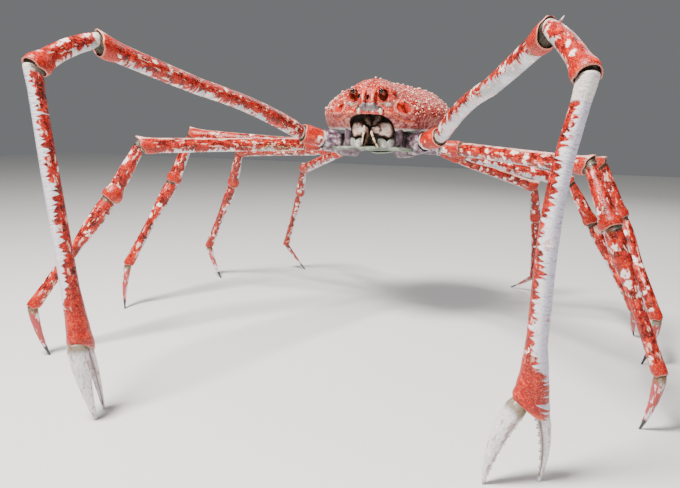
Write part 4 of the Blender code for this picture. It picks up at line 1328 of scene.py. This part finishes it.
face_shell = body_material("smooth pink and orange face shell", 0.40,
                           ("#f4cabc", "#e27a62", "#c83418", "#a81600"), (0.28, 0.42, 0.56, 0.74),
                           80.0, 0.0006, 0.15)
plate_shell = body_material("grey lilac plate shell", 0.42, ("#43383a", "#6e6163", "#a89a98"),
                            (0.34, 0.54, 0.72), 95.0, 0.0007, 0.15)
lobe_shell = body_material("pink grey lobe shell", 0.42, ("#4e2e27", "#885d53", "#ccb0a6"),
                           (0.34, 0.52, 0.70), 95.0, 0.0006, 0.15)
white_shell = body_material("worn white shell", 0.38, ("#bfa8a0", "#e4d2c8", "#f6ece4"),
                            (0.3, 0.5, 0.7), 90.0, 0.0003, 0.15)
horn_shell = body_material("orange red horn shell", 0.38, ("#b8200e", "#e4502e", "#f4b49c"),
                           (0.36, 0.56, 0.74), 110.0, 0.0004, 0.18, "#ee9c80")
flank_skin = body_material("purple grey flank skin", 0.5, ("#33252e", "#5d4955", "#8d7a86", "#b9aab0"),
                           (0.30, 0.45, 0.6, 0.74), 80.0, 0.0008)
chest_shell = body_material("grey green chest shell", 0.48, ("#3e4c42", "#667264", "#a2a99a"),
                            (0.32, 0.5, 0.7), 48.0, 0.0006, 0.12)
orange_shell = body_material("orange ridge shell", 0.42, ("#c9432a", "#e2683a", "#f0c4a4"),
                             (0.34, 0.55, 0.72), 90.0, 0.0005, 0.12)

# Right is towards minus x, as the crab faces minus y.
SIDES = ((-1, "right"), (1, "left"))
# The bars of each side: name, material, slot, three places of the left side, how far each of
# them is moved along x on both sides alike, and half-widths at shares of the way. Places
# without a depth lie on the front of the shell, and the next value is how far they stand out.
# Last come the way across and how much the bar is flattened that way.
NO_SHIFT = (0.0, 0.0, 0.0)
FACE_BARS = (
    ("horn", horn_shell, "carapace",
     ((0.0110, -0.130, 0.570), (0.0118, -0.164, 0.572), (0.0100, -0.173, 0.547)), (-0.002, -0.001, 0.0),
     ((0.0, 6.0), (0.3, 5.6), (0.7, 3.8), (0.92, 2.0), (1.0, 0.4))),
    # The brow rim runs over the eye to a spine at its outer corner.
    ("brow", face_shell, "carapace",
     ((0.014, 0.5740), (0.030, 0.5805), (0.0465, 0.5725)), (-0.003, -0.003, -0.002),
     ((0.0, 1.0), (0.15, 2.0), (0.6, 2.4), (0.9, 2.0), (1.0, 0.5)), 0.0),
    ("outer_brow", face_shell, "carapace",
     ((0.049, -0.120, 0.565), (0.051, -0.138, 0.571), (0.0515, -0.149, 0.571)), NO_SHIFT,
     ((0.0, 4.6), (0.6, 3.2), (1.0, 0.8))),
    # The lower rim of the orbit is a grey cup-shaped lobe with a paler edge.
    ("orbit_lobe", lobe_shell, "carapace",
     ((0.026, -0.151, 0.5435), (0.042, -0.158, 0.5325), (0.058, -0.136, 0.5480)), NO_SHIFT,
     ((0.0, 2.0), (0.2, 4.6), (0.55, 5.8), (0.85, 4.2), (1.0, 1.2)), None, Vector((0, 1, 0)), 0.70),
    ("orbit_edge", lobe_shell, "carapace",
     ((0.020, 0.5480), (0.034, 0.5420), (0.048, 0.5500)), (-0.003, -0.003, -0.003),
     ((0.0, 0.6), (0.2, 1.6), (0.6, 2.0), (1.0, 0.6)), 0.4 * MM),
    ("cheek", face_shell, "carapace",
     ((0.060, -0.112, 0.545), (0.068, -0.140, 0.545), (0.072, -0.148, 0.546)), NO_SHIFT,
     ((0.0, 8.0), (0.5, 5.5), (1.0, 0.9))),
    # An orange bar closes the corner between the orbit, the mouth plate and the cheek, and
    # the ridge over the mouth's side runs back along the wall.
    ("corner_bar", orange_shell, "carapace",
     ((0.033, 0.5240), (0.044, 0.5232), (0.055, 0.5205)), NO_SHIFT,
     ((0.0, 1.5), (0.2, 3.0), (0.7, 3.0), (1.0, 1.0)), -0.6 * MM),
    ("mouth_ridge", orange_shell, "carapace",
     ((0.052, 0.5190), (0.072, 0.5075), (0.098, 0.5060)), NO_SHIFT,
     ((0.0, 1.2), (0.2, 2.4), (0.7, 2.6), (1.0, 0.8)), -0.8 * MM),
    ("mouth_side", flank_skin, "carapace",
     ((0.0580, -0.098, 0.498), (0.0600, -0.104, 0.476), (0.0540, -0.100, 0.447)), NO_SHIFT,
     ((0.0, 6.0), (0.2, 8.0), (0.6, 9.0), (0.9, 8.0), (1.0, 5.0))),
    # The edge of the chest plate runs out under the first limbs.
    ("chest_edge", chest_shell, "underside",
     ((0.024, -0.118, 0.4465), (0.066, -0.122, 0.4450), (0.100, -0.078, 0.4400)), NO_SHIFT,
     ((0.0, 4.0), (0.3, 7.0), (0.7, 8.0), (1.0, 5.0)), None, UP, 0.55),
)
for side, label in SIDES:
    for name, material, slot, places, shifts, halves, *more in FACE_BARS:
        out, *way = more or (None,)
        places = [(side * place[0] + shift, *place[1:]) for place, shift in zip(places, shifts)]
        if out is None:
            start, bend, tip = [Vector(place) for place in places]
        else:
            start, middle, tip = [on_front(x, z, out) for x, z in places]
            bend = middle * 2 - (start + tip) / 2
        add_bar(name + "_" + label, material, slot, start, bend, tip, halves, *way)

epistome_corners = [(-0.028, 0.0), (-0.031, 0.009), (-0.018, 0.0165), (0.0, 0.0185), (0.018, 0.0165),
                    (0.031, 0.009), (0.028, 0.0), (0.014, -0.0025), (0.0, -0.0005), (-0.014, -0.0025)]
add_plate("epistome", plate_shell, "carapace", epistome_corners, Vector((0, -0.1535, 0.5255)),
          Vector((1, 0, 0)), Vector((0, -0.12, 1)).normalized(), 5 * MM, 2 * MM)
for x, half, low in ((-0.0225, 4.6, 0.5205), (0.0270, 4.6, 0.5205), (0.0095, 3.0, 0.5200),
                     (-0.0080, 2.4, 0.5205)):
    add_bar("epistome_tooth_%d" % round(x * 10000), white_shell, "carapace", Vector((x, -0.153, 0.534)),
            Vector((x, -0.161, 0.527)), Vector((x, -0.155, low)),
            [(0.0, 0.6 * half), (0.4, half), (0.9, 0.8 * half), (1.0, 0.4 * half)])
# A small near-black plate of painted shade marks the notch in the plate over the mouth.
add_plate("epistome_notch", shade_lining, "carapace",
          [(-0.0022, -0.0018), (0.0022, -0.0018), (0.0022, 0.0018), (-0.0022, 0.0018)],
          Vector((0.001, -0.1593, 0.528)), Vector((1, 0, 0)), UP, 1.2 * MM, 0.0)

# Eyes
# Two small glossy black eyes on short stalks, which lie in the orbits beside the horns. The
# dark cornea is smooth and wet-looking; the stalk is pink skin.

eye_black, tree = new_material("black cornea", 0.16)
close_material(tree, linear("#060506"), Coat_Weight=0.2, Coat_Roughness=0.05)
stalk_skin = body_material("pink eye stalk", 0.45, ("#5f2b22", "#b4604e", "#e9c3b6"),
                           (0.3, 0.5, 0.7), 170.0, 0.0003)

# The foot of the right eye's stalk and the middle of its eye, mirrored for the left.
STALK_FOOT = Vector((-0.0310, -0.120, 0.562))
EYE_MIDDLE = Vector((-0.0313, -0.163, 0.568))
for side, label in SIDES:
    stalk_foot = mirrored(STALK_FOOT, side) + EYES_SHIFT
    eye_middle = mirrored(EYE_MIDDLE, side) + EYES_SHIFT
    add_bar("eye_stalk_" + label, stalk_skin, "eye", stalk_foot, (stalk_foot + eye_middle) / 2,
            eye_middle, [(0.0, 4.2), (0.25, 3.8), (0.8, 4.0), (1.0, 3.6)],
            nodes=("eye_" + label,))
    eye_bm = bmesh.new()
    shape = Matrix.Diagonal((4.9 * MM, 5.2 * MM, 5.9 * MM, 1.0))
    add_ball(eye_bm, 32, 20)
    bmesh.ops.transform(eye_bm, matrix=Matrix.Translation(eye_middle) @ shape, verts=eye_bm.verts[:])
    finish_body(eye_bm, "eye_ball_" + label, eye_black, "eye")

# Mouth legs
# The outer mouth legs close the mouth like two doors. Each has two domed plates of smooth
# white shell, darkened round their rims with painted shade so that a dark slit shows between,
# and a jointed palp fringed with stiff hairs.

# The plates are darkened round their rims with painted shade.
mouth_shell = body_material("white and pink mouth plates", 0.34,
                            ("#5e3a30", "#b99083", "#f4e8e0", "#d47c66"), (0.36, 0.44, 0.53, 0.66),
                            75.0, 0.0007, 0.18, "#4e2c22")
# The base plate is darkened round its rim with painted shade too.
base_shell = body_material("grey mouth leg base", 0.42, ("#5f605f", "#94978f", "#d6d3ce"),
                           (0.3, 0.5, 0.7), 80.0, 0.0006, 0.15, "#4a4640")
palp_shell = body_material("cream palp shell", 0.40, ("#a07c5c", "#e6cda8", "#faf0de"),
                           (0.32, 0.48, 0.68), 160.0, 0.0004, 0.12)
hair_horn = body_material("horn brown hairs", 0.5, ("#4a3020", "#80583a"), (0.4, 0.6), 200.0, 0.0001)
mandible_shell = body_material("brown grey jaw shell", 0.4, ("#2e1f19", "#6f5347", "#b39a8a"),
                               (0.34, 0.55, 0.75), 110.0, 0.0005, 0.15)

# A near-black box of painted shade fills the back of the mouth behind the jaws.
THROAT_SIZE = (0.094, 0.008, 0.046)
THROAT_PLACE = (0, -0.100, 0.4735)
throat_bm = bmesh.new()
bmesh.ops.create_cube(throat_bm, size=1.0)
bmesh.ops.scale(throat_bm, verts=throat_bm.verts[:], vec=THROAT_SIZE)
bmesh.ops.bevel(throat_bm, geom=throat_bm.edges[:], offset=3 * MM, segments=3, profile=0.5,
                affect="EDGES", material=-1)
bmesh.ops.translate(throat_bm, verts=throat_bm.verts[:], vec=THROAT_PLACE)
finish_body(throat_bm, "throat", shade_lining, "carapace")
for side, label in SIDES:
    add_bar("jaw_" + label, mandible_shell, "carapace", Vector((side * 0.016, -0.108, 0.516)),
            Vector((side * 0.013, -0.122, 0.509)), Vector((side * 0.003, -0.122, 0.496)),
            [(0.0, 5.0), (0.3, 8.0), (0.7, 6.5), (1.0, 2.0)])

# The plates of a mouth leg, with corners as shares of its span and heights.
MOUTH_PLATES = (
    ("merus", mouth_shell, 3.5 * MM,
     ((-0.02, 0.484), (0.28, 0.4985), (0.56, 0.5045), (0.86, 0.5020), (1.0, 0.486), (0.90, 0.4705),
      (0.56, 0.4725), (0.28, 0.4765))),
    ("ischium", base_shell, 2.0 * MM,
     ((0.30, 0.4640), (0.70, 0.4620), (1.10, 0.4650), (1.06, 0.4500), (0.72, 0.4450), (0.34, 0.4490))),
)
# The palps hang differently, each through four places: shares of the span and heights.
PALPS = {"right": ((0.20, 0.4960), (0.22, 0.4820), (0.28, 0.4680), (0.34, 0.4540)),
         "left": ((0.02, 0.4840), (0.11, 0.4700), (0.24, 0.4570), (0.36, 0.4470))}
for side, label in SIDES:
    inner = Vector((side * 0.0035, -0.141, 0.0))
    outer = Vector((side * 0.0475, -0.1135, 0.0))
    span = outer - inner
    for part, material, dome, corner_list in MOUTH_PLATES:
        flat = [(side * share * span.length, height) for share, height in corner_list]
        add_plate("mouth_%s_%s" % (part, label), material, "pale_shell", flat,
                  Vector((inner.x, inner.y, 0)), span.normalized() * side, UP, 3.4 * MM, dome,
                  nodes=("maxilliped_" + label,))
    palp = [inner + span * share + Vector((0, -0.0055, height)) for share, height in PALPS[label]]
    for index in range(3):
        half = (2.6, 2.3, 1.9)[index]
        add_bar("palp_%s_%d" % (label, index), palp_shell, "pale_shell", palp[index],
                (palp[index] + palp[index + 1]) / 2 + Vector((0, -0.0012, 0)), palp[index + 1],
                [(0.0, half * 0.5), (0.2, half), (0.75, half * 0.9), (1.0, half * 0.4)])
    chance = random.Random(33 + side)
    for index in range(16):
        share = index / 15
        root = inner + span * (0.02 + 0.20 * share) + Vector((0, -0.001, 0.482 - 0.028 * share))
        tip = root + Vector((-side * chance.uniform(0.003, 0.006), -0.001, -chance.uniform(0.003, 0.007)))
        add_bar("palp_hair_%s_%d" % (label, index), hair_horn, "pale_shell", root, (root + tip) / 2, tip,
                [(0.0, 0.35), (1.0, 0.12)])

# Feelers
# Each antenna is three short shell joints and a thin ringed whip of horny rings, all hanging
# forward from the pit under its eye.

feeler_shell = body_material("red brown feeler rings", 0.42, ("#6e2c1c", "#a8543a", "#dba58c"),
                             (0.3, 0.5, 0.7), 260.0, 0.0002)

# Lengths of a shell joint and of the whip, in millimetres.
FEELER_JOINT = 4.6
FEELER_WHIP = 25
for side, label in SIDES:
    place, normal, face, away = tree_of_back.ray_cast(Vector((side * 0.0235, -0.5, 0.5405)),
                                                      Vector((0, 1, 0)))
    lean = Vector((side * 0.62, -0.62, -0.48)).normalized()
    joints = [place]
    for index in range(3):
        share = (index + 1) / 3
        joints.append(joints[-1] + (normal * (1 - share) + lean * share).normalized() * FEELER_JOINT * MM)
    for index in range(3):
        half = (3.1, 2.7, 2.1)[index]
        add_bar("feeler_joint_%s_%d" % (label, index), feeler_shell, "feeler", joints[index],
                (joints[index] + joints[index + 1]) / 2, joints[index + 1],
                [(0.0, half * 0.7), (0.2, half), (0.8, half * 1.05), (1.0, half * 0.7)],
                nodes=("antenna_" + label,) if index == 0 else ())
    bm = bmesh.new()
    rings = [(index / 30, (1.15 - 0.75 * index / 30) * (1.0 if index % 2 else 0.82) * MM)
             for index in range(31)]
    whip_end = joints[3] + lean * FEELER_WHIP * MM
    rows = bent_rows(joints[3], (joints[3] + whip_end) / 2 + Vector((0, -0.003, 0)), whip_end, rings,
                     Vector((1, 0, 0)), 1.0)
    shape_tube(bm, rows, 12)
    finish_body(bm, "feeler_whip_" + label, feeler_shell, "feeler")

# Chest and tail flap
# Under the back lies the chest plate: thick grey-green shell with a seam and a socket for each
# limb. The flat tail flap is folded forward under it, in six overlapping segments and a tip.

STERNUM_BOTTOM = 0.438

chest_bm = bmesh.new()
add_ball(chest_bm, 96, 48)
for vert in chest_bm.verts:
    angle = math.atan2(vert.co.y, vert.co.x)
    flat = min(1.0, math.hypot(vert.co.x, vert.co.y)) ** 0.45
    x = (0.064 if vert.co.y > 0 else 0.070) * flat * math.cos(angle)
    y = 0.008 + 0.104 * flat * math.sin(angle)
    middle_level = (UNDERSIDE + STERNUM_BOTTOM) / 2
    rise = math.copysign(abs(vert.co.z) ** 0.6, vert.co.z) * 1.3 * (UNDERSIDE - middle_level)
    lowest = STERNUM_BOTTOM - 0.012 * blend(0.036, 0.062, abs(x))
    z = min(UNDERSIDE, max(lowest, middle_level + rise))
    if z < middle_level:
        # Seams run outward between the limbs.
        seam = 1.0 - abs(math.sin((y - 0.005) / 0.042 * math.pi))
        z += 0.0030 * seam ** 4
    vert.co = Vector((x, y, z))
finish_body(chest_bm, "chest", chest_shell, "underside", "sternum")
front_bm = bmesh.new()
add_ball(front_bm, 64, 32)
for vert in front_bm.verts:
    flat = min(1.0, math.hypot(vert.co.x, vert.co.y)) ** 0.6
    angle = math.atan2(vert.co.y, vert.co.x)
    x = 0.036 * flat * math.cos(angle)
    y = -0.106 + 0.039 * flat * math.sin(angle)
    z = 0.4452 + 0.0050 * vert.co.z
    vert.co = Vector((x, y, z))
finish_body(front_bm, "chest_front", chest_shell, "underside", "sternum")

for side, label in SIDES:
    for pair in HIPS:
        joints = limb_joints(label, pair)
        way = (joints[1] - joints[0]).normalized()
        half = (WIDTHS[pair][0] / 2 + 0.6) * MM
        inner = joints[0] - way * 0.045
        rows = bent_rows(inner, (inner + joints[0]) / 2, joints[0],
                         [(0.0, half * 0.80), (0.4, half * 0.92), (0.86, half), (0.93, half * 1.02),
                          (0.97, half), (1.0, half * 0.93)], UP, 1.0)
        add_tube("socket_%s_%d" % (label, pair), flank_skin, "underside", rows, sides=32)

# Half-widths of the flap where its segments meet, from the root to the tip.
FLAP_HALF_WIDTHS = (0.016, 0.021, 0.0255, 0.027, 0.0255, 0.0215, 0.0155, 0.005)
FLAP_ROOT = 0.094
FLAP_STEP = 0.0215
FLAP_SEGMENT = 0.0235
for index, (wide, narrow) in enumerate(zip(FLAP_HALF_WIDTHS, FLAP_HALF_WIDTHS[1:])):
    back_end = FLAP_ROOT - index * FLAP_STEP
    front_end = back_end - FLAP_SEGMENT
    # Seen from below, right is the crab's right and up is towards the back.
    corner_list = [(wide, back_end), (narrow, front_end), (0, front_end - 0.002), (-narrow, front_end),
                   (-wide, back_end), (0, back_end + 0.001)]
    add_plate("flap_%d" % index, chest_shell, "underside", corner_list,
              Vector((0, 0, STERNUM_BOTTOM - 0.0035 - 0.0004 * (index % 2))), Vector((-1, 0, 0)),
              Vector((0, 1, 0)), 2.2 * MM, 2.2 * MM, 0.45, nodes=("pleon",) if index == 0 else ())
